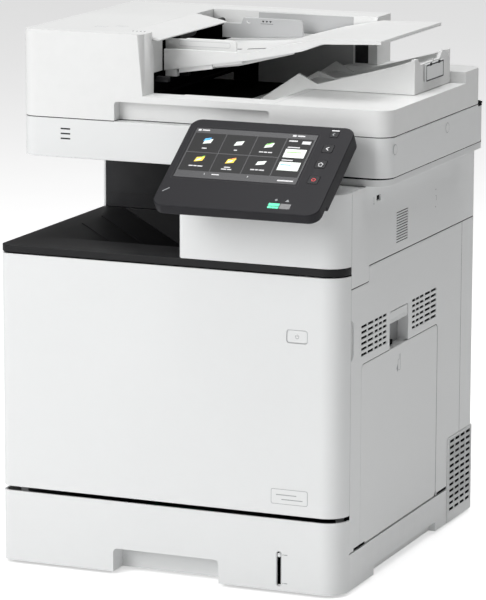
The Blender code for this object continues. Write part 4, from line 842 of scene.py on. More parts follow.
@dataclass
class Cassette(SubAssembly):
    """The paper cassette: its face, tray, guides and level window."""

    window_x: float = 144.0
    window_z: Span = (9.0, 53.0)
    window_depth: float = 10.0

    def build(self) -> None:
        """Builds the cassette's pieces."""
        self.shell("cassette_front", 0.7)
        self.shell("cassette_tray", 0.5)
        self.shells(("lift_plate", "side_guide_front", "side_guide_rear", "end_guide"))
        self.shell("level_indicator", 0.6)
        self.window()
        self.size_marks()

    def window(self) -> None:
        """Painted shade in a near-black channel behind the level window, and a thin frame round its slot."""
        x, depth = self.window_x, self.window_depth
        window_shade = Mould().box((x - 6, x + 6), (depth, depth + 1.2), self.window_z)
        for side in (-1, 1):
            wall = sorted((x + side * 4.2, x + side * 5.4))
            window_shade.add(Mould().box((wall[0], wall[1]), (3.2, depth), self.window_z))
        self.part("level_window_shade", "cassette_front", window_shade, DARK_VOID)
        outer, inner = framed((x - 3.7, x + 3.7), self.window_z, 3.6, 0.8)
        frame_ring = Mould().prism(Plane.XZ, outer, -0.15, 0.3).cut(Mould().prism(Plane.XZ, inner, -1.0, 1.0))
        self.part("level_frame", "cassette_front", frame_ring, INK_PALE)

    def size_marks(self) -> None:
        """Two small level marks beside the window, and the ribs on the tray's floor."""
        marks = Mould()
        for z in (48.5, 13.5):
            marks.box((self.window_x + 7.0, self.window_x + 11.0), (-0.08, 0.1), (z - 0.5, z + 0.5))
            marks.prism(
                Plane.XZ,
                [(self.window_x + 5.0, z - 1.0), (self.window_x + 6.4, z), (self.window_x + 5.0, z + 1.0)],
                -0.08, 0.1,
            )
        self.part("level_marks", "cassette_front", marks, INK_GREY)
        tray, guide = Extent.of("cassette_tray"), Extent.of("end_guide")
        ribs = Mould()
        for step in range(9):
            x = tray.x[0] + 12 + step * 6.5
            for near, far in ((tray.y[0] + 12, guide.y[0] - 2), (guide.y[1] + 2, tray.y[1] - 12)):
                ribs.box((x, x + 1.2), (near, far), (tray.z[0] + 3.0, tray.z[0] + 4.6))
        self.part("tray_ribs", "cassette_tray", ribs.soften(0.2), GREY)


@dataclass
class FrontCover(SubAssembly):
    """The big front cover with the power button and a blank name plate."""

    plate_x: Span = (133.5, 180.3)
    plate_z: Span = (110.6, 129.0)
    symbol_radius: float = 2.5

    def build(self) -> None:
        """Builds the cover's pieces."""
        self.shell("front_cover", 0.7)
        self.shell("power_button", 0.6)
        self.plate()
        self.symbol()
        self.ribs()

    def plate(self) -> None:
        """A blank plate with a grey outline and two plain stripes."""
        outer = rounded(self.plate_x, self.plate_z, 2.2)
        inset = 0.55
        inner = rounded(
            (self.plate_x[0] + inset, self.plate_x[1] - inset),
            (self.plate_z[0] + inset, self.plate_z[1] - inset),
            1.8,
        )
        border = Mould().prism(Plane.XZ, outer, -0.10, 0.1)
        self.part("name_plate_border", "front_cover", border, INK_GREY)
        field = Mould().prism(Plane.XZ, inner, -0.16, 0.1).soften(0.05, 1)
        self.part("name_plate", "front_cover", field, WHITE)
        stripes = Mould()
        for z, left, right in ((121.5, 140.0, 166.0), (116.0, 147.0, 174.0)):
            stripes.box((left, right), (-0.20, 0.0), (z, z + 1.0))
        self.part("name_plate_stripes", "front_cover", stripes, INK_GREY)

    def symbol(self) -> None:
        """The outline of the button and the power symbol on it."""
        button = Extent.of("power_button")
        middle = (sum(button.x) / 2, sum(button.z) / 2)
        front = button.y[0]
        radius = self.symbol_radius
        ring = arc(middle, radius, 125, 415, 20) + arc(middle, radius - 0.55, 415, 125, 20)
        mark = Mould().prism(Plane.XZ, ring, front - 0.08, front + 0.1)
        depth = (front - 0.08, front + 0.1)
        mark.box((middle[0] - 0.3, middle[0] + 0.3), depth, (middle[1], middle[1] + 3.0))
        self.part("power_symbol", "power_button", mark, INK_GREY)
        outer = rounded((button.x[0] - 0.9, button.x[1] + 0.9), (button.z[0] - 0.9, button.z[1] + 0.9), 3.6)
        inner = rounded((button.x[0] - 0.3, button.x[1] + 0.3), (button.z[0] - 0.3, button.z[1] + 0.3), 3.1)
        rim = Mould().prism(Plane.XZ, outer, -0.12, 0.3).cut(Mould().prism(Plane.XZ, inner, -1.0, 1.0))
        self.part("button_rim", "front_cover", rim, INK_PALE)

    def ribs(self) -> None:
        """Stiffening ribs on the cover's inner face."""
        cover = Extent.of("front_cover")
        ribs = Mould()
        for step in range(7):
            x = -190.0 + step * 55.0
            ribs.box((x - 0.7, x + 0.7), (2.7, 6.5), (cover.z[0] + 12, cover.z[1] - 12))
        for step in range(4):
            z = cover.z[0] + 30 + step * 72.0
            ribs.box((-196.0, 146.0), (2.7, 5.8), (z - 0.7, z + 0.7))
        self.part("front_cover_ribs", "front_cover", ribs, WHITE)


@dataclass
class SideCovers(SubAssembly):
    """The fixed covers on the left, right and rear, with the sockets and screws in them."""

    usb_y: Span = (109.0, 123.0)
    usb_z: Span = (463.2, 470.5)
    screw_radius: float = 3.2
    screw_over_box: float = 186.0

    def build(self) -> None:
        """Builds the covers."""
        self.shell("left_cover", 0.6)
        self.shell("right_rear_cover", 0.7)
        self.shell("rear_cover", 0.5)
        self.upper_right()
        self.vent_box()
        self.shell("power_inlet", 0.5)
        self.inlet_pins()
        self.usb()
        self.rear_details()
        self.seams()

    def upper_right(self) -> None:
        """The upper right cover, with a small round at its step."""
        cover = Extent.of("upper_right_cover")
        lower = Extent.of("right_cover")
        step_z = cover.z[0]
        outline = [(cover.y[0], step_z), (82.2, step_z), *arc((82.2, step_z + 5), 5, 270, 360, 5)]
        outline += [(87.2, lower.z[1] + 0.8), (cover.y[1], lower.z[1] + 0.8)]
        outline += [(cover.y[1], cover.z[1]), (cover.y[0], cover.z[1])]
        shape = Mould().prism(Plane.YZ, outline, *cover.x).soften(0.8, 3)
        tools = [Mould().box((200, 240), self.usb_y, self.usb_z)]
        # Painted shade: near-black strips behind the vent slots darken them.
        painted_vent_shade = Mould()
        for row in range(12):
            z = 401.2 + 3.3 * row
            tools.append(Mould().box((210, 240), (179, 219), (z, z + 1.3)))
            painted_vent_shade.box((217.2, 222.3), (179.1, 218.9), (z + 0.05, z + 1.25))
        shape.cut(*tools)
        self.part("upper_vent_shade", "upper_right_cover", painted_vent_shade, DARK_VOID)
        self.shell("upper_right_cover", 0.0, mould=shape)
        marks = Mould()
        for z in (446.0, 424.0):
            marks.lathe(Axis.X, (222.95, 319.0, z), [(0, -0.1), (0.9, -0.1), (0.9, 0.2), (0, 0.2)], 16)
        bow = arc((319.0, 435.0), 3.6, -60, 100, 10) + arc((319.0, 435.0), 2.9, 100, -60, 10)
        marks.prism(Plane.YZ, bow, 222.8, 223.1)
        self.part("side_marks", "upper_right_cover", marks, INK_GREY)

    def vent_box(self) -> None:
        """The grille box at the rear corner, with painted shade behind its slots."""
        self.shell("rear_vent_cover", 0.35)
        box = Extent.of("rear_vent_cover")
        void = Mould().box((219.0, 220.4), (box.y[0] + 4, box.y[1] - 5), (box.z[0] + 5, box.z[1] - 5))
        for row in range(12):
            z = box.z[1] - 8.0 - 8.1 * row
            for column in range(4):
                y = box.y[0] + 9.1 + 20.5 * column
                void.box((220.2, 222.7), (y, y + 16.8), (z + 0.1, z + 3.9))
                void.box((222.2, 223.1), (y + 7.6, y + 9.2), (z + 0.1, z + 3.9))
        self.part("vent_shade", "rear_vent_cover", void, DARK_VOID)

    def inlet_pins(self) -> None:
        """Three flat pins in the power inlet."""
        inlet = Extent.of("power_inlet")
        x, z = inlet.x[0] + 25.0, sum(inlet.z) / 2
        pins = Mould()
        for across, up in ((-7.0, -1.5), (0.0, 2.5), (7.0, -1.5)):
            pins.box((x + across - 1, x + across + 1), (449.6, 462.0), (z + up - 2, z + up + 2))
        self.part("inlet_pins", "power_inlet", pins.soften(0.3), BRIGHT_STEEL)

    def usb(self) -> None:
        """The USB socket behind its opening, painted shade inside it, and a plain mark beside it."""
        y, z = self.usb_y, self.usb_z
        socket = Mould().box((212, 221.5), (y[0] + 0.4, y[1] - 0.4), (z[0] + 0.4, z[1] - 0.4))
        socket.cut(Mould().box((213, 230), (y[0] + 1.0, y[1] - 1.0), (z[0] + 1.0, z[1] - 1.0)))
        self.part("usb_socket", "upper_right_cover", socket, BRIGHT_STEEL)
        # Painted shade: the socket's inside and its tongue are near-black.
        depth = Mould().box((213.2, 216.0), (y[0] + 1.2, y[1] - 1.2), (z[0] + 1.2, z[1] - 1.2))
        depth.box((216.0, 220.5), (y[0] + 2.0, y[1] - 2.0), (z[0] + 3.4, z[1] - 1.4))
        self.part("usb_tongue_shade", "upper_right_cover", depth, DARK_VOID)
        stem = Mould().box((222.9, 223.1), (99.6, 100.2), (462.0, 468.0))
        stem.prism(Plane.YZ, [(98.8, 468.0), (101.0, 468.0), (99.9, 470.2)], 222.9, 223.1)
        stem.prism(Plane.YZ, arc((99.9, 461.6), 1.1, 0, 330, 11), 222.9, 223.1)
        self.part("usb_mark", "upper_right_cover", stem, INK_GREY)

    def rear_details(self) -> None:
        """Screws, network and computer sockets and a blank plate on the rear."""
        rear = Extent.of("rear_cover")
        back = rear.y[1]
        screws = Mould()
        radius = self.screw_radius
        head = [(0, -1.0), (radius, -1.0), (radius, 0.2), (2.2, 1.0), (0, 1.1)]
        for x, low in ((-205.0, rear.z[0] + 16), (0.0, rear.z[0] + 16), (200.0, self.screw_over_box)):
            for z in (low, rear.z[1] - 14):
                shape = Mould().lathe(Axis.Y, (x, back + 0.2, z), head)
                for wide, tall in ((1.8, 0.4), (0.4, 1.8)):
                    deep = (back + 0.7, back + 3.0)
                    shape.cut(Mould().box((x - wide, x + wide), deep, (z - tall, z + tall)))
                screws.add(shape)
        self.part("rear_screws", "rear_cover", screws, STEEL)
        sockets, voids = Mould(), Mould()
        for z, wide, tall in ((250.0, 8.0, 7.0), (226.0, 6.0, 5.5)):
            x, wall = 150.0, 1.2
            ring = Mould().box((x - wide, x + wide), (back - 1, back + 0.6), (z - tall, z + tall))
            wide, tall = wide - wall, tall - wall
            ring.cut(Mould().box((x - wide, x + wide), (back - 3, back + 3), (z - tall, z + tall)))
            sockets.add(ring.soften(0.2))
            wide, tall = wide - 0.1, tall - 0.1
            voids.box((x - wide, x + wide), (back - 0.5, back + 0.15), (z - tall, z + tall))
        self.part("rear_sockets", "rear_cover", sockets, BRIGHT_STEEL)
        self.part("rear_socket_shade", "rear_cover", voids, DARK_VOID)
        outline = rounded((-120.0, -50.0), (150.0, 190.0), 2.0)
        plate = Mould().prism(Plane.XZ, outline, back - 0.1, back + 0.15)
        self.part("rear_plate", "rear_cover", plate, INK_PALE)

    def seams(self) -> None:
        """Strips of painted shade inside the gaps between the side covers and in the right cover's hinge
        slots.
        """
        cover = Extent.of("right_cover")
        upper = Extent.of("upper_right_cover")
        box = Extent.of("rear_vent_cover")
        gap = upper.z[0]
        # Painted shade: near-black strips in the seams make the gaps read dark.
        strips = Mould()
        strips.box((218.0, 222.72), (87.0, 464.0), (cover.z[1] - 0.15, cover.z[1] + 0.95))
        strips.box((218.0, 222.78), (cover.y[1] - 0.30, cover.y[1] + 0.70), (box.z[1] + 3, cover.z[1] - 0.5))
        strips.box((218.0, 222.72), (29.0, 86.0), (gap - 0.95, gap + 0.15))
        strips.box((214.0, 222.4), (box.y[0] - 0.35, box.y[0] - 0.05), (8.0, 49.0))
        strips.box((216.0, 222.7), (28.03, 28.37), (7.0, 389.0))
        strips.box((216.0, 222.7), (28.03, 28.37), (398.0, 484.0))
        self.part("side_seam_shade", "upper_right_cover", strips, DARK_VOID)
        # Painted shade: near-black boxes fill the hinge slots.
        slots = Mould()
        for near, far in ((42.0, 79.0), (337.0, 373.0)):
            slots.box((222.3, 223.06), (near, far), (cover.z[0] + 0.1, cover.z[0] + 3.3))
        self.part("hinge_slot_shade", "right_cover", slots, DARK_VOID)


@dataclass
class RightCover(SubAssembly):
    """The opening right cover with its latch and sheet feed tray."""

    vent_columns: tuple[Span, ...] = (
        (62.0, 81.5), (84.0, 103.0), (107.0, 119.5), (121.5, 133.5), (135.5, 148.0),
        (238.0, 250.0), (252.0, 264.0), (266.0, 280.0), (284.0, 304.0), (306.0, 326.0),
    )
    vent_rows: int = 6
    pocket_y: Span = (158.6, 224.0)
    pocket_z: Span = (272.0, 320.0)
    pocket_depth: float = 14.0
    grip_y: Span = (20.0, 37.0)
    grip_z: Span = (284.0, 333.0)

    def build(self) -> None:
        """Builds the cover's pieces."""
        self.cover()
        self.shell("cover_latch", 0.7)
        self.shell("mp_tray", 0.8, segments=3)
        self.latch_ridges()
        self.tray_seam_shade()
        self.sheet_mark()

    def cover(self) -> None:
        """The cover: its outline with round steps, then its pocket, vents and recesses."""
        cover = Extent.of("right_cover")
        box = Extent.of("rear_vent_cover")
        tray = Extent.of("mp_tray")
        inner, outer = 217.0, 223.0
        near, low, high = cover.y[0], cover.z[0], cover.z[1]
        step = (87.6, Extent.of("upper_right_cover").z[0] - 0.8)
        outline = [(near, low), (box.y[0] - 0.8, low)]
        outline += arc((box.y[0] + 4.2, box.z[1] - 4.6), 5, 180, 90, 5)
        outline += arc((cover.y[1] - 5, box.z[1] + 5.4), 5, 270, 360, 5)
        outline += [(cover.y[1], high)]
        outline += arc((step[0] + 3, high - 3), 3, 90, 180, 4)
        outline += arc((step[0] - 5, step[1] + 5), 5, 360, 270, 5)
        outline += [(near, step[1])]
        shape = Mould().prism(Plane.YZ, outline, inner, outer).soften(0.9, 3)
        wall = 3.0
        shape.join(Mould().box(
            (outer - self.pocket_depth - wall, outer - 1), (self.pocket_y[0] - wall, self.pocket_y[1] + wall),
            (270.0, self.pocket_z[1] + wall),
        ))
        tools = [
            Mould().prism(Plane.YZ, rounded(
                (tray.y[0] - 0.8, tray.y[1] + 0.8), (20.0, tray.z[1] + 0.8), 7.8), outer - 5, outer + 9),
            Mould().prism(
                Plane.YZ, rounded(self.pocket_y, self.pocket_z, 4.0), outer - self.pocket_depth, outer + 9),
            Mould().box((200, 240), (90, 306), (75, 262)),
            Mould().prism(Plane.YZ, rounded(self.grip_y, self.grip_z, 8.4), outer - 2.4, outer + 9),
        ]
        for columns in self.vent_columns:
            for row in range(self.vent_rows):
                z = 283.5 + 6.8 * row
                tools.append(Mould().box((210, 240), columns, (z, z + 3.4)))
        shape.cut(*tools)
        self.shell("right_cover", 0.0, mould=shape)
        shade = Mould()
        for near_y, far_y in self.vent_columns:
            for row in range(self.vent_rows):
                z = 283.5 + 6.8 * row
                shade.box((217.1, 221.9), (near_y + 0.1, far_y - 0.1), (z + 0.1, z + 3.3))
        self.part("cover_vent_shade", "right_cover", shade, DARK_VOID)

    def latch_ridges(self) -> None:
        """Fine finger ridges under the latch plate, the painted shade behind it, and painted shade inside its
        pocket.
        """
        latch = Extent.of("cover_latch")
        y = (self.pocket_y[0] + 4, self.pocket_y[1] - 4)
        ridges = Mould()
        for row in range(3):
            z = latch.z[1] - 14.0 + row * 1.8
            ridges.box((latch.x[1] - 0.4, latch.x[1] + 0.25), y, (z, z + 0.7))
        self.part("latch_ridges", "cover_latch", ridges.soften(0.15, 1), WHITE)
        shade = Mould().box((209.3, 210.3), (self.pocket_y[0] + 2, self.pocket_y[1] - 2), (304.0, 319.0))
        shade.box((217.5, 222.2), (self.pocket_y[0] + 0.6, self.pocket_y[1] - 0.6), (319.3, 319.9))
        shade.box((209.3, 213.5), (self.pocket_y[0] + 24, self.pocket_y[0] + 36), (273.2, 279.0))
        self.part("latch_shade", "right_cover", shade, DARK_VOID)
        # Painted shade: grey sheets on the pocket's back and side walls darken its white inside.
        shade_sheet = Mould().box((209.1, 209.3), (self.pocket_y[0] + 0.3, self.pocket_y[1] - 0.3), (273.0, 319.0))
        shade_sheet.box((209.3, 222.0), (self.pocket_y[0] + 0.05, self.pocket_y[0] + 0.3), (276.0, 316.0))
        self.part("pocket_shade_sheet", "right_cover", shade_sheet, POCKET_SHADE_GREY)

    def tray_seam_shade(self) -> None:
        """Painted shade: a near-black strip in the gap round the sheet feed tray."""
        tray = Extent.of("mp_tray")
        floor = Extent.of("right_cover").z[0]
        outer = rounded((tray.y[0] - 1.15, tray.y[1] + 1.15), (20.0, tray.z[1] + 1.15), 8.1)
        inner = rounded((tray.y[0] - 0.12, tray.y[1] + 0.12), (10.0, tray.z[1] + 0.12), 7.1)
        ring = Mould().prism(Plane.YZ, outer, 218.2, 222.76).cut(
            Mould().prism(Plane.YZ, inner, 210, 230),
            Mould().box((210, 230), (self.pocket_y[0] - 1, self.pocket_y[1] + 1), (270, 280)),
            Mould().box((210, 230), (0, 500), (0, floor + 0.2)),
        )
        self.part("tray_seam_shade", "right_cover", ring, DARK_VOID)

    def sheet_mark(self) -> None:
        """The raised mark of a sheet on the feed tray."""
        tray = Extent.of("mp_tray")
        y, z = tray.y[0] + 126.0, tray.z[1] - 31.0
        sheet = [(y, z), (y + 8, z), (y + 8, z + 19), (y + 4, z + 19), (y + 4, z + 13), (y, z + 13)]
        line = Mould()
        for start, end in zip(sheet, sheet[1:] + sheet[:1]):
            low = (min(start[0], end[0]) - 0.2, min(start[1], end[1]) - 0.2)
            high = (max(start[0], end[0]) + 0.2, max(start[1], end[1]) + 0.2)
            line.box((222.9, 223.15), (low[0], high[0]), (low[1], high[1]))
        line.prism(Plane.YZ, [(y - 5.0, z + 3), (y - 0.8, z - 2.0), (y - 0.8, z + 8)], 222.9, 223.15)
        self.part("sheet_mark", "mp_tray", line, INK_GREY)


@dataclass
class OutputBay(SubAssembly):
    """The output tray, the wall behind it and the exit roller."""

    floor: tuple[Point, ...] = ((-192, 398.0), (-121, 359), (-60, 335), (-10, 326), (66.5, 326))
    crease_y: tuple[float, ...] = (170.0, 228.0)

    def build(self) -> None:
        """Builds the bay's pieces."""
        self.shell("output_tray", 0.5)
        self.shell("back_wall", 0.4)
        self.shell("exit_roller", 0.3)
        self.creases()
        self.exit_flags()

    def creases(self) -> None:
        """Two long ridges down the tray's floor."""
        upper = [(x, z + 0.7) for x, z in self.floor[:-1]] + [(self.floor[-1][0] - 2, 326.7)]
        outline = [(x, z - 0.6) for x, z in upper] + upper[::-1]
        ridges = Mould()
        for y in self.crease_y:
            ridges.prism(Plane.XZ, outline, y - 1.0, y + 1.0)
        self.part("tray_ridges", "output_tray", ridges.soften(0.25), BLACK)

    def exit_flags(self) -> None:
        """The ribs beside the exit slot and two lines along the back wall."""
        wall = Extent.of("back_wall")
        face = 70.0
        ribs = Mould()
        for step in range(6):
            y = 140.0 + step * 28.0
            ribs.box((face - 1.2, face + 0.5), (y - 0.6, y + 0.6), (402.0, 424.0))
        ribs.box((face - 1.2, face + 0.5), (126.0, 291.0), (457.5, 459.0))
        self.part("exit_ribs", "back_wall", ribs.soften(0.2), CHARCOAL)
        groove = Mould()
        for z in (wall.z[0] + 18, wall.z[1] - 14):
            groove.box((-214.0, 66.0), (wall.y[1] - 4.35, wall.y[1] - 3.9), (z, z + 0.8))
        self.part("wall_lines", "back_wall", groove, BLACK)


@dataclass
class Tower(SubAssembly):
    """The tower that carries the control panel."""

    def build(self) -> None:
        """Builds the tower's pieces."""
        tower = Extent.of("control_tower")
        shape = Mould.of_node("control_tower").soften(0.9, 3)
        notch = (tower.x[0] + 96.0, tower.z[1])
        shape.cut(Mould().box((notch[0], notch[0] + 3.2), (-2.0, 2.2), (notch[1] - 4.5, notch[1] + 2)))
        self.shell("control_tower", 0.0, mould=shape)
        self.shell("panel_bracket", 0.5)


@dataclass
class Scanner(SubAssembly):
    """The flatbed scanner with its glass, carriage and hinges."""

    slot_x: Span = (-171.5, -158.5)
    slot_z: tuple[float, ...] = (521.0, 527.0, 533.0)
    caps: tuple[Point, ...] = ((85.0, 530.7), (269.0, 531.8))
    cap_radius: float = 6.4

    def build(self) -> None:
        """Builds the scanner's pieces."""
        self.shell("scanner_support", 0.6)
        self.shell("scanner_housing", 1.0, segments=3)
        self.shells(("platen_glass", "carriage_rail", "scan_carriage", "adf_hinge_left", "adf_hinge_right"))
        self.trim()
        self.gap_shades()
        self.lamp_bar()

    def trim(self) -> None:
        """The three status slots in front, drawn as black marks of painted shade, and the two caps on the
        right.
        """
        body = Extent.of("scanner_housing")
        slots = Mould()
        for z in self.slot_z:
            outline = rounded(self.slot_x, (z - 0.9, z + 0.9), 0.85, 4)
            slots.prism(Plane.XZ, outline, body.y[0] - 0.12, body.y[0] + 0.4)
        self.part("scanner_slot_shade", "scanner_housing", slots, BLACK)
        caps, rings = Mould(), Mould()
        radius = self.cap_radius
        for y, z in self.caps:
            centre = (body.x[1], y, z)
            cap = [(0, -0.5), (radius - 0.6, -0.5), (radius - 0.6, 0.2), (radius - 1.1, 0.4), (0, 0.4)]
            caps.lathe(Axis.X, centre, cap)
            rings.ring(Axis.X, centre, radius, radius - 0.5, 0.35)
        self.part("scanner_caps", "scanner_housing", caps, WHITE)
        self.part("cap_rings", "scanner_housing", rings, INK_GREY)

    def gap_shades(self) -> None:
        """Painted shade: near-black strips in the gaps above and below the scanner."""
        support = Extent.of("scanner_support")
        body = Extent.of("scanner_housing")
        z = (support.z[1] - 1.9, body.z[0] - 0.05)
        under = Mould().prism(
            Plane.XY,
            rounded((support.x[0] + 225.0, support.x[1] + 0.15), (support.y[0] - 0.15, 300.0), 21.9, 12), *z,
        )
        under.box((support.x[0] + 225.0, support.x[1] + 0.15), (270.0, support.y[1] + 0.1), z)
        self.part("lower_gap_shade", "scanner_support", under, DARK_VOID)
        cover = Extent.of("adf_base")
        limits = (body.z[1] + 0.1, body.z[1] + 0.9)
        outer = rounded((body.x[0] + 0.3, body.x[1] - 0.3), (body.y[0] + 0.3, cover.y[1] - 6), 19.7, 10)
        inner = rounded((body.x[0] + 8, body.x[1] - 8), (body.y[0] + 17, cover.y[1] - 34), 12.0, 10)
        shade_band = Mould().prism(Plane.XY, outer, *limits).cut(Mould().prism(Plane.XY, inner, 500, 600))
        shade_band.cut(Mould().box((-101.0, 103.0), (60.0, 83.0), (500, 600)))
        self.part("upper_gap_shade", "adf_base", shade_band, DARK_VOID)
        stop = rounded((384.0, 397.0), (body.z[1] - 2.3, body.z[1] - 0.1), 1.0, 4)
        bump = Mould().prism(Plane.YZ, stop, body.x[1] - 0.5, body.x[1] + 0.5)
        self.part("rear_stop", "scanner_housing", bump, DARK_VOID)
        glass = Extent.of("platen_glass")
        pad = Mould().box(glass.x, glass.y, (glass.z[1] + 0.15, glass.z[1] + 0.95)).soften(0.25)
        self.part("document_pad", "adf_base", pad, INK_WHITE_PAD)

    def lamp_bar(self) -> None:
        """The light bar and lens on the scanning carriage."""
        carriage = Extent.of("scan_carriage")
        middle = carriage.x[0] + 15.0
        bar = Mould().box((middle - 4, middle + 4), (96.0, 314.0), (carriage.z[1] - 0.4, carriage.z[1] + 0.5))
        self.part("light_bar", "scan_carriage", bar.soften(0.3), SCREEN_GLASS)


@dataclass
class ControlPanel(SubAssembly):
    """The tilting control panel, its display and its keys.

    Its shapes are drawn on the panel's face: across it, up its slope, and out of it.
    """

    tilt: float = 33.51
    slope_length: float = 152.3
    key_x: float = 198.5
    columns: tuple[Span, ...] = ((0.012, 0.264), (0.272, 0.520), (0.528, 0.760))
    rows: tuple[Span, ...] = ((0.52, 0.90), (0.14, 0.50))

    def build(self) -> None:
        """Builds the panel's pieces."""
        self.shell("touch_screen", 0.1)
        self.shells(("stop_key", "home_key", "back_key", "energy_key"), 0.3)
        body, screen = Extent.of("panel_housing"), Extent.of("touch_screen")
        rise = math.radians(self.tilt)
        foot = body.z[1] - self.slope_length * math.sin(rise)
        self.face = Matrix.Translation((0.0, body.y[0], foot)) @ Matrix.Rotation(rise, 4, "X")
        self.left, self.width = screen.x[1] - 154.0, 154.0
        self.low, self.height = 50.0, 86.0
        self.housing()
        self.display()
        self.cards()
        self.key_marks()
        self.lamps()

    def housing(self) -> None:
        """The panel's body: a rounded slab with its lip, display recess, key wells and hinge lugs."""
        body = Extent.of("panel_housing")
        left, right, far = body.x[0], body.x[1], self.slope_length
        shape = Mould().prism(Plane.XY, rounded((left, right), (0.0, far), 14.0, 12), -20.0, 0.0)
        shape.cut(Mould().box((left - 9, right + 9), (-9, 30.0), (-40, -13.5))).soften(1.4, 4)
        x = (self.left - 0.4, self.left + self.width + 0.4)
        tools = [Mould().box(x, (self.low - 0.4, self.low + self.height + 0.4), (-2.0, 9.0))]
        for along, half in ((60.0, 6.9), (87.0, 6.9), (114.0, 6.9), (139.0, 5.4)):
            well = rounded((self.key_x - half, self.key_x + half), (along - half, along + half), 2.0, 4)
            tools.append(Mould().prism(Plane.XY, well, -4.5, 9.0))
        shape.cut(*tools)
        for middle in (left + 33.5, right - 35.0):
            shape.add(Mould().box((middle - 9, middle + 9), (97, 125), (-37, -18)).soften(0.8))
        self.shell("panel_housing", 0.0, PANEL_DARK, shape.turned(self.face))

    def words(self, middle: float, up: float, widths: Sequence[float]) -> list[list[Point]]:
        """Short dashes in a row round a point of the display, like a blurred caption."""
        gap = 0.006
        start = middle - (sum(widths) + gap * (len(widths) - 1)) / 2
        dashes = []
        for width in widths:
            dashes.append(self.tile((start, start + width), (up, up + 0.020), 0.2))
            start += width + gap
        return dashes

    def inked(
        self, name: str, near: str, finish: Finish, outlines: Iterable[Sequence[Point]], level: float
    ) -> None:
        """Thin printed shapes on the panel's face.

        Args:
            name: The piece's name.
            near: The node that it is fixed to.
            finish: Its surface.
            outlines: The shapes, across and up the face.
            level: How far out of the face they lie.
        """
        sheet = Mould()
        for outline in outlines:
            sheet.prism(Plane.XY, outline, level, level + 0.07)
        self.part(name, near, sheet.turned(self.face), finish)

    def spot(self, across: float, up: float) -> Point:
        """A point of the display, given as shares of its width and height."""
        return self.left + across * self.width, self.low + up * self.height

    def tile(self, across: Span, up: Span, radius: float = 0.3) -> list[Point]:
        """A rectangle of the display, given as shares of its width and height."""
        low, high = self.spot(across[0], up[0]), self.spot(across[1], up[1])
        return rounded((low[0], high[0]), (low[1], high[1]), radius, 2)

    def slanted(self, across: float, up: float, wide: float, tall: float, lean: float = 3.0) -> list[Point]:
        """A leaning card round a point of the display, with sizes in millimetres."""
        x, y = self.spot(across, up)
        right, high, rise = wide / 2, tall / 2, lean / 3
        return [
            (x - right, y - high - rise), (x + right, y - high + rise),
            (x + right + lean / 2, y + high + rise), (x - right + lean / 2, y + high - rise),
        ]

    def display(self) -> None:
        """The display's lit background: bars, tiles and captions drawn as plain strokes."""
        fields = [self.tile(across, up) for across in self.columns for up in self.rows]
        fields.append(self.tile((0.77, 0.985), (0.14, 0.90)))
        self.inked("display_fields", "touch_screen", DISPLAY_FIELD, fields, 0.22)
        strokes = [self.tile((0.02, 0.045), (0.94, 0.975)), self.tile((0.055, 0.115), (0.945, 0.97))]
        strokes += [self.tile((0.80, 0.83), (0.94, 0.975)), self.tile((0.84, 0.90), (0.945, 0.97))]
        captions = (
            (0, 0.585, (0.040,)), (1, 0.585, (0.026,)), (2, 0.585, (0.034, 0.026, 0.034)),
            (0, 0.225, (0.034, 0.026, 0.042)), (1, 0.235, (0.050,)), (1, 0.195, (0.044, 0.034)),
            (2, 0.225, (0.034, 0.022, 0.044)),
        )
        for column, up, widths in captions:
            strokes += self.words(sum(self.columns[column]) / 2, up, widths)
        strokes += [self.tile((0.79, 0.86), (0.84, 0.865)), self.tile((0.90, 0.97), (0.80, 0.86))]
        strokes += [self.tile((0.80, 0.90), (0.715, 0.735)), self.tile((0.80, 0.89), (0.455, 0.475))]
        strokes += [self.tile((0.30, 0.36), (0.075, 0.095)), self.tile((0.84, 0.97), (0.045, 0.07))]
        for centre, side in ((0.235, 1), (0.60, -1)):
            x, y = self.spot(centre, 0.085)
            tip, end = x + side * 0.9, x + side * 1.6
            strokes.append([(x, y), (end, y + 1.8), (end, y + 1.1), (tip, y)])
            strokes.append([(x, y), (tip, y), (end, y - 1.1), (end, y - 1.8)])
        self.inked("display_strokes", "touch_screen", DISPLAY_TEXT, strokes, 0.30)

    def cards(self) -> None:
        """The picture in each tile, made of leaning cards, and the two status cards."""
        middles = [sum(across) / 2 for across in self.columns]
        top, bottom = 0.745, 0.375
        pages = [self.slanted(middle, top - 0.01, 9.5, 7.0) for middle in middles]
        pages.append(self.slanted(middles[2], bottom, 10.5, 6.0))
        pages += [self.tile((0.795, 0.965), (0.52, 0.69)), self.tile((0.795, 0.965), (0.26, 0.43))]
        self.inked("display_pages", "touch_screen", DISPLAY_PAGE, pages, 0.30)
        folders = [self.slanted(middle, bottom, 10.0, 7.5) for middle in middles[:2]]
        self.inked("display_folders", "touch_screen", DISPLAY_YELLOW, folders, 0.30)
        blues = [
            self.slanted(middles[0] - 0.012, top + 0.03, 7.5, 4.6),
            self.slanted(0.85, 0.37, 13.0, 1.4, 0.0),
        ]
        self.inked("display_blues", "touch_screen", DISPLAY_BLUE, blues, 0.38)
        greens = [
            self.slanted(middles[2] - 0.01, top + 0.015, 7.0, 3.4, 5.0),
            self.slanted(middles[0] + 0.02, bottom + 0.05, 3.2, 2.4),
            self.slanted(0.87, 0.625, 18.0, 1.4, 0.0),
        ]
        self.inked("display_greens", "touch_screen", DISPLAY_GREEN, greens, 0.38)
        oranges = [self.slanted(middles[1] + 0.012, bottom + 0.045, 5.0, 2.6)]
        self.inked("display_oranges", "touch_screen", DISPLAY_ORANGE, oranges, 0.38)
        labels = [self.slanted(middle - 0.005, bottom - 0.01, 5.0, 3.0) for middle in middles[:2]]
        self.inked("display_labels", "touch_screen", DISPLAY_PAGE, labels, 0.38)

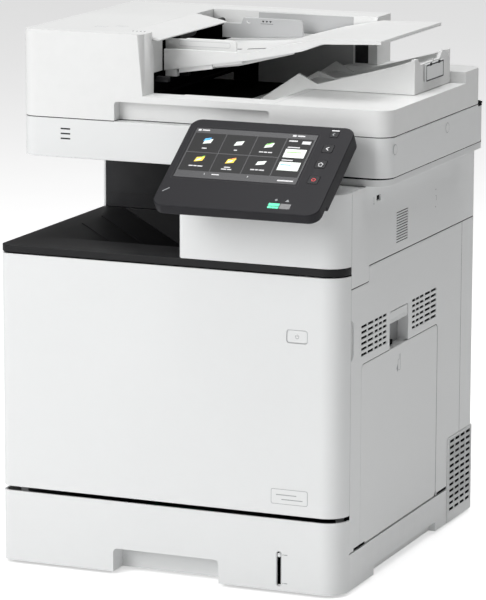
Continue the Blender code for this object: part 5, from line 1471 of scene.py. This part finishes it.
    def key_marks(self) -> None:
        """The marks on the four keys."""
        x = self.key_x
        level = 0.42
        ring, hole = (arc((x, 60.0), radius, 0, 360, 6) for radius in (2.9, 1.9))
        for side in range(6):
            strip = [ring[side], ring[side + 1], hole[side + 1], hole[side]]
            self.inked(f"stop_mark_{side}", "stop_key", INK_RED, [strip], level)
        house = [
            [(x - 3.4, 87.0), (x, 90.2), (x + 3.4, 87.0), (x + 2.7, 86.4), (x, 89.0), (x - 2.7, 86.4)],
            [(x - 2.4, 83.8), (x - 1.8, 83.8), (x - 1.8, 86.6), (x - 2.4, 86.6)],
            [(x + 1.8, 83.8), (x + 2.4, 83.8), (x + 2.4, 86.6), (x + 1.8, 86.6)],
            [(x - 2.4, 83.2), (x + 2.4, 83.2), (x + 2.4, 83.9), (x - 2.4, 83.9)],
        ]
        self.inked("home_mark", "home_key", INK_WHITE, house, level)
        arrow = [[(x - 2.6, 114.0), (x + 0.6, 117.2), (x + 1.4, 116.5), (x - 1.1, 114.0)],
                 [(x - 2.6, 114.0), (x - 1.1, 114.0), (x + 1.4, 111.5), (x + 0.6, 110.8)]]
        self.inked("back_mark", "back_key", INK_WHITE, arrow, level)
        moon = arc((x, 139.0), 2.2, 60, 300, 12) + arc((x + 1.2, 139.0), 1.9, 270, 90, 12)
        self.inked("energy_mark", "energy_key", INK_GREY, [moon], level)
        bar = rounded((x - 5.5, x + 4.5), (145.0, 146.8), 0.8, 3)
        self.inked("wireless_mark", "panel_housing", INK_WHITE, [bar], 0.0)

    def lamps(self) -> None:
        """The green status lamp, the dark one beside it, their marks, and a thin bezel line."""
        strips = [rounded((158.0, 171.5), (8.3, 11.4), 0.5, 2), rounded((158.0, 171.5), (12.2, 16.8), 0.5, 2)]
        self.inked("status_lamp", "panel_housing", LAMP_GREEN, strips, 0.03)
        dark = [rounded((172.5, 185.5), (8.3, 16.8), 0.5, 2)]
        self.inked("error_lamp", "panel_housing", LAMP_OFF, dark, 0.03)
        marks = [
            [(163.0, 22.5), (165.0, 20.5), (167.0, 22.5), (165.0, 24.5)],
            [(176.5, 20.5), (181.5, 20.5), (179.0, 24.5)],
            [(20.8, 24.4), (21.7, 23.7), (28.6, 30.2), (27.8, 31.0)],
        ]
        self.inked("lamp_marks", "panel_housing", INK_GREY, marks, 0.0)
        across = (self.left - 3.0, self.left + self.width + 3.0)
        outer, inner = framed(across, (self.low - 3.2, self.low + self.height + 3.2), 3.0, 0.5)
        line = Mould().prism(Plane.XY, outer, -0.02, 0.10).cut(Mould().prism(Plane.XY, inner, -1.0, 1.0))
        self.part("bezel_line", "panel_housing", line.turned(self.face), CHARCOAL)


@dataclass
class Feeder(SubAssembly):
    """The document feeder on top of the scanner."""

    head_right: float = -62.5
    slab_top: float = 578.0
    cavity_rear: float = 354.6
    flap_rear: float = 300.0

    def build(self) -> None:
        """Builds the feeder's pieces."""
        self.base()
        self.shell("feeder_cover", 0.9, WARM_WHITE, segments=3)
        dish = [(-70.0, 640.0), (-70.0, 617.0), (0.0, 620.0), (36.0, 623.0), (52.0, 630.0), (52.0, 640.0)]
        tray = Mould.of_node("document_tray").cut(Mould().prism(Plane.XZ, dish, 144.0, 348.5))
        self.shell("document_tray", 0.8, WARM_WHITE, tray, segments=3)
        self.shell("document_stopper", 0.4)
        self.shell("document_output_tray", 0.6, WARM_WHITE)
        self.shells(("adf_pickup_roller", "adf_feed_roller"), 0.3)
        self.guides()
        self.inner_frame()
        self.tray_details()
        self.rear_recess()
        self.stopper_lines()
        self.top_marks()

    def base(self) -> None:
        """The feeder's body: large rounds on the head's front corner, and a thin short flap."""
        body = Extent.of("adf_base")
        shape = Mould.of_node("adf_base")
        reach = 1.0
        shape.round_within(
            (self.head_right - reach, self.head_right + reach), (body.y[0] - reach, body.y[0] + reach),
            (self.slab_top - reach, body.z[1] + reach), 7.0, 8,
        )
        top = body.z[1]
        shape.cut(Mould().box((-92.2, -40.0), (95.9, self.cavity_rear - 0.1), (top - 17.0, top + 1.0)))
        flap = [(-92.2, top - 4.0), (-52.5, top - 10.0), (-50.5, top - 8.2), (-92.2, top)]
        shape.join(Mould().prism(Plane.XZ, flap, 94.0, self.flap_rear))
        shape.soften(0.9, 3)
        self.shell("adf_base", 0.0, WARM_WHITE, shape)
        end = self.flap_rear
        clips = Mould().box((-62.0, -56.0), (end - 2.0, end + 3.0), (top - 13.0, top - 9.6))
        clips.box((-90.0, -84.0), (end + 0.2, end + 5.0), (top - 6.0, top - 2.0))
        self.part("flap_clips", "adf_base", clips.soften(0.5), BLACK)

    def guides(self) -> None:
        """The two document guides, reaching low under the flap, with their marks."""
        for name, top_right in (("document_guide_front", 6.0), ("document_guide_rear", 7.0)):
            guide = Extent.of(name)
            low, high = guide.z
            left, right = guide.x[0], guide.x[1]
            low_left = Extent.of("feeder_cover").z[1] - 13.7
            outline = [(left - 30, low - 8.0), (left - 2, low - 8.0), (right, low - 2.8)]
            outline += arc((right - top_right, high - top_right), top_right, 0, 90, 8)
            outline += [(left - 1, high), (left - 4, low_left), (left - 30, low_left)]
            thick = (152.0, 156.0) if name.endswith("front") else (330.0, 334.0)
            shape = Mould().prism(Plane.XZ, outline, *thick).soften(0.9, 3)
            # The rear guide takes the grey copy of the white moulding: painted shade.
            self.shell(name, 0.0, PAINTED_SHADE_GREY if name.endswith("rear") else WARM_WHITE, shape)
        front, rear = Extent.of("document_guide_front"), Extent.of("document_guide_rear")
        up = (front.z[0] + 2.0, front.z[1] - 3.0)
        inset, hole = framed((front.x[0] - 12.0, front.x[1] - 8.0), up, 2.5, 0.6)
        ring = Mould().prism(Plane.XZ, inset, 151.85, 152.2).cut(Mould().prism(Plane.XZ, hole, 150, 154))
        self.part("guide_outline", "document_guide_front", ring, INK_PALE)
        marks = Mould()
        for step in range(3):
            x = rear.x[0] + 26.0 + 5.0 * step
            z = rear.z[1] - 5.5
            marks.prism(Plane.XZ, [(x, z), (x + 1.8, z + 2.4), (x - 1.8, z + 2.4)], 329.85, 330.1)
        marks.box((rear.x[0] + 22.5, rear.x[0] + 39.5), (329.9, 330.1), (rear.z[1] - 7.2, rear.z[1] - 6.8))
        self.part("level_triangles", "document_guide_rear", marks, CHARCOAL)
        hook = arc((rear.x[0] + 7.0, rear.z[1] - 4.0), 3.4, 180, 300, 8)
        hook += arc((rear.x[0] + 7.0, rear.z[1] - 4.0), 2.4, 300, 180, 8)
        ridge = Mould().prism(Plane.XZ, hook, 329.0, 330.2)
        self.part("guide_ridge", "document_guide_rear", ridge.soften(0.2), WARM_WHITE)

    def inner_frame(self) -> None:
        """The paper path inside the head, in near-black that is partly its black plastic and partly painted
        shade of the deep cavity, its tabs, and the pale cheek beside the tray.
        """
        left, right = -188.5, self.head_right - 3.5
        rear = self.cavity_rear
        path = Mould().box((left, right + 2), (rear - 1.3, rear - 0.3), (573.0, 634.0))
        path.box((left, right), (101.0, rear - 1.4), (572.6, 576.0))
        path.box((left, left + 1.2), (101.0, rear - 1.4), (576.0, 640.0))
        path.box((left, 20.0), (106.0, rear - 1.4), (562.2, 563.2))
        path.box((right + 2, -30.0), (rear - 0.8, rear - 0.3), (563.2, 610.0))
        path.box((left, right + 2), (100.4, 101.4), (573.0, 634.0))
        path.prism(
            Plane.XZ,
            [(-160, 576), (-72, 576), (-72, 590), (-84, 598), (-110, 604), (-140, 604), (-160, 596)],
            112.0, 344.0,
        )
        for step in range(7):
            y = 124.0 + 34.0 * step
            path.box((-140.0, -74.0), (y - 1.0, y + 1.0), (588.0, 607.0))
        self.part("paper_path", "adf_base", path, DARK_VOID)
        rails = Mould()
        for step in range(4):
            y = 118.0 + 62.0 * step
            rails.box((-66.0, -50.0), (y - 4, y + 4), (590.0, 596.5))
        self.part("path_tabs", "adf_base", rails.soften(0.5), CHARCOAL)
        cheek = Mould().box((-69.0, -67.6), (99.0, 138.0), (601.0, 641.0)).soften(0.4)
        self.part("path_cheek", "adf_base", cheek, WARM_WHITE)

    def tray_details(self) -> None:
        """Painted shade in the slots of the tray's dished top, the ribs and rails under it, and its lip."""
        tray = Extent.of("document_tray")
        slot = Mould()
        for start, end in (((-16.7, 619.38), (-0.3, 620.1)), ((8.0, 620.77), (34.0, 622.93))):
            below = [(start[0], start[1] - 0.6), (end[0], end[1] - 0.6)]
            slot.prism(Plane.XZ, [*below, end, start], 224.0, 230.0)
        self.part("guide_slot_shade", "document_tray", slot, DARK_VOID)
        under = Mould()
        for step in range(5):
            y = 150.0 + 46.0 * step
            rib = [(-60, 601.6), (-60, 598.2), (30, 610.5), (100, 628.0), (100, 630.5), (44, 619.0)]
            under.prism(Plane.XZ, rib, y - 1.0, y + 1.0)
        under.box((-65.0, -50.0), (141.0, 149.0), (594.0, 602.5))
        for start, end, drop in ((-47.0, -3.0, 5.6), (-2.0, 36.0, 3.0)):
            corners = ((start, 0.8), (start, -drop), (end, -drop), (end, 0.8))
            under.prism(Plane.XZ, [(x, 601.2 + 0.16 * (x + 66) + up) for x, up in corners], 141.0, 165.0)
        self.part("tray_under_ribs", "document_tray", under, WARM_WHITE)
        lip = Mould().box((tray.x[1] - 0.4, tray.x[1] + 0.4), (tray.y[0] + 6, tray.y[1] - 6), (647.0, 649.4))
        self.part("tray_lip", "document_tray", lip.soften(0.3), WARM_WHITE)

    def rear_recess(self) -> None:
        """Painted shade in the recess at the right end of the feeder's rear wall and across the wall beside
        it, and the pale pillar there.
        """
        y = self.cavity_rear
        # Painted shade: a charcoal sheet darkens the recess.
        recess = Mould().box((101.0, 119.0), (y - 0.35, y + 0.1), (593.5, 634.0))
        self.part("wall_recess_shade", "adf_base", recess, CHARCOAL)
        # Painted shade: a grey sheet darkens the white rear wall.
        shade_sheet = Mould().box((-29.8, 98.3), (y - 0.3, y + 0.1), (563.4, 651.0))
        self.part("wall_shade_sheet", "adf_base", shade_sheet, PAINTED_SHADE_GREY)
        pillar = Mould().box((98.5, 101.0), (y - 1.8, y + 0.1), (592.5, 634.0))
        pillar.box((119.0, 131.0), (y - 2.0, y + 0.1), (592.5, 650.0))
        self.part("wall_pillar", "adf_base", pillar.soften(0.4), WARM_WHITE)

    def stopper_lines(self) -> None:
        """The dark outline round the stopper flap, painted shade in the gap round it, with its two hinge
        tabs.
        """
        flap = Extent.of("document_stopper")
        y = (238.0, 302.0)
        outer = rounded((y[0] + 1, y[1] - 1), (flap.z[0] + 1, flap.z[1] - 1), 1.5)
        inner = rounded((y[0] + 2.5, y[1] - 2.5), (592.5, 609.5), 1.0)
        ring = Mould().prism(Plane.YZ, outer, flap.x[1] - 0.1, flap.x[1] + 0.12)
        ring.cut(Mould().prism(Plane.YZ, inner, flap.x[1] - 2, flap.x[1] + 2))
        for near in (252.0, 282.0):
            ring.add(Mould().box((flap.x[1] - 0.1, flap.x[1] + 0.5), (near, near + 6), (609.0, 612.6)))
        self.part("stopper_outline", "document_stopper", ring, BLACK)

    def top_marks(self) -> None:
        """Plain sheet marks on the feeder's cover, short ticks on the flap, and two fine seam lines of
        painted shade.
        """
        lid = Extent.of("feeder_cover")
        top = lid.z[1]
        marks, print_z = Mould(), (top - 0.05, top + 0.06)
        for x, y in ((-150.0, 120.0), (-128.0, 132.0)):
            for along in (y, y + 9.0):
                marks.box((x, x + 14.0), (along, along + 0.5), print_z)
            for across in (x, x + 13.5):
                marks.box((across, across + 0.5), (y, y + 9.5), print_z)
            for along in (y + 2.0, y + 4.0, y + 6.0):
                marks.box((x + 3.0, x + 11.0), (along, along + 0.5), print_z)
        self.part("cover_marks", "feeder_cover", marks, INK_PALE)
        ticks = Mould()
        for step in range(4):
            x = -89.0 + 5.0 * step
            ticks.box((x, x + 1.2), (95.6, 99.2), (top - 0.05, top + 0.12))
        self.part("flap_ticks", "adf_base", ticks, CHARCOAL)
        seam = Mould().box((104.0, 104.6), (74.0, 205.0), (self.slab_top - 0.1, self.slab_top + 0.05))
        seam.box((-93.0, -92.2), (92.0, self.flap_rear), (top - 1.4, top - 0.25))
        self.part("slab_seam_shade", "adf_base", seam, INK_PALE)


@dataclass
class Interior(SubAssembly):
    """What the covers hide: the engine, its cartridges, the fuser and the pickup roller."""

    pitch: float = 80.0
    first_x: float = -140.0

    def build(self) -> None:
        """Builds the inner pieces."""
        self.shells(("engine_frame", "laser_unit", "transfer_unit", "fuser_housing"), 0.4)
        for index, colour in enumerate(("yellow", "magenta", "cyan", "black")):
            node = f"toner_{colour}"
            self.shell(node, 0.8)
            self.cartridge_front(node, self.first_x + self.pitch * index)
        self.shells(("fuser_roller", "pickup_roller"), 0.3)
        self.belt_rollers()

    def cartridge_front(self, node: str, x: float) -> None:
        """The grip and the blank label on a cartridge's front end."""
        front = Extent.of(node).y[0]
        grip = Mould().box((x - 18, x + 18), (front - 4.5, front + 0.5), (188.0, 202.0))
        grip.cut(Mould().box((x - 15, x + 15), (front - 8, front - 1.5), (191.0, 199.0)))
        self.part(f"{node}_grip", node, grip.soften(0.5), GREY)
        label = Mould().box((x - 16, x + 16), (front - 0.15, front + 0.1), (162.0, 172.0))
        self.part(f"{node}_label", node, label, INK_PALE)

    def belt_rollers(self) -> None:
        """The end rollers' hubs on the transfer unit."""
        unit = Extent.of("transfer_unit")
        hubs = Mould()
        for x in (unit.x[0] + 26, unit.x[1] - 26):
            hubs.ring(Axis.Y, (x, 41.8, 273.0), 9.0, 4.0, 2.2)
        self.part("belt_hubs", "transfer_unit", hubs, GREY)


# Studio -----------------------------------------------------------------------------------------


@dataclass
class Studio:
    """A pale floor, soft lights and the camera."""

    focal: float = 215.4
    sensor: float = 36.0
    shift: Point = (0.0047, -0.0078)
    camera_offset: tuple[float, float, float] = (1.6764, -4.0292, 0.8477)
    turn: float = 22.618
    tilt: float = 11.097
    roll: float = 0.169

    def build(self) -> None:
        """Builds the whole studio."""
        low, high = CAD_BOX
        self.middle = (low + high) / 2
        self.world()
        self.floor()
        self.lamp("key", (-1.5, -3.0, 2.1), 2.4, 84.0)
        self.lamp("top", (0.2, 0.2, 3.2), 2.6, 70.0)
        self.camera()

    def world(self) -> None:
        """A white surround that lights less than it shows."""
        world = bpy.data.worlds.new("surround")
        bpy.context.scene.world = world
        world.use_nodes = True
        graph = Graph(world.node_tree)
        shows = graph.add("ShaderNodeLightPath").outputs["Is Camera Ray"]
        strength = graph.spread(shows, (0.0, 1.0), (0.19, 1.0))
        background = world.node_tree.nodes["Background"]
        background.inputs["Color"].default_value = (1.0, 1.0, 1.0, 1.0)
        graph.tree.links.new(strength, background.inputs["Strength"])
        bpy.context.scene.view_settings.view_transform = "Standard"

    def floor(self) -> None:
        """A wide pale floor."""
        bm = bmesh.new()
        bmesh.ops.create_grid(bm, x_segments=8, y_segments=8, size=14.0)
        mesh = bpy.data.meshes.new("floor")
        bm.to_mesh(mesh)
        bm.free()
        pale = Finish("pale_floor", (0.93, 0.93, 0.93), 0.65, scale=300.0, tone=0.01, glow=0.1).material()
        graph = Graph(pale.node_tree)
        shows = graph.add("ShaderNodeLightPath").outputs["Is Camera Ray"]
        glow = graph.spread(shows, (0.0, 1.0), (0.08, 0.55))
        graph.tree.links.new(glow, pale.node_tree.nodes["Principled BSDF"].inputs["Emission Strength"])
        mesh.materials.append(pale)
        floor = bpy.data.objects.new("floor", mesh)
        bpy.context.scene.collection.objects.link(floor)

    def lamp(self, name: str, place: Sequence[float], size: float, power: float) -> None:
        """A soft square lamp aimed at the machine.

        Args:
            name: The lamp's name.
            place: Where it stands.
            size: Its side.
            power: Its power in watts.
        """
        data = bpy.data.lights.new(name, "AREA")
        data.size = size
        data.energy = power
        lamp = bpy.data.objects.new(name, data)
        lamp.location = Vector(place)
        lamp.rotation_euler = (self.middle - lamp.location).to_track_quat("-Z", "Y").to_euler()
        bpy.context.scene.collection.objects.link(lamp)

    def camera(self) -> None:
        """The camera, from the front right and a little above."""
        data = bpy.data.cameras.new("camera")
        data.sensor_width = self.sensor
        data.lens = self.focal
        data.shift_x, data.shift_y = self.shift
        data.clip_end = 100.0
        camera = bpy.data.objects.new("camera", data)
        camera.location = self.middle + Vector(self.camera_offset)
        level = Matrix.Rotation(math.radians(90.0 - self.tilt), 4, "X")
        aim = Matrix.Rotation(math.radians(self.turn), 4, "Z") @ level
        aim = aim @ Matrix.Rotation(math.radians(self.roll), 4, "Z")
        camera.rotation_euler = aim.to_euler()
        bpy.context.scene.collection.objects.link(camera)
        bpy.context.scene.camera = camera


def main() -> None:
    """Builds the machine and its studio."""
    logging.basicConfig(level=logging.INFO, format="%(name)s: %(message)s")
    assemblies = (
        Base(), Cassette(), FrontCover(), SideCovers(), RightCover(), OutputBay(), Tower(), Scanner(),
        ControlPanel(), Feeder(), Interior(),
    )
    for assembly in assemblies:
        LOG.info("building %s", type(assembly).__name__)
        assembly.build()
    Studio().build()


if __name__ == "__main__":
    main()
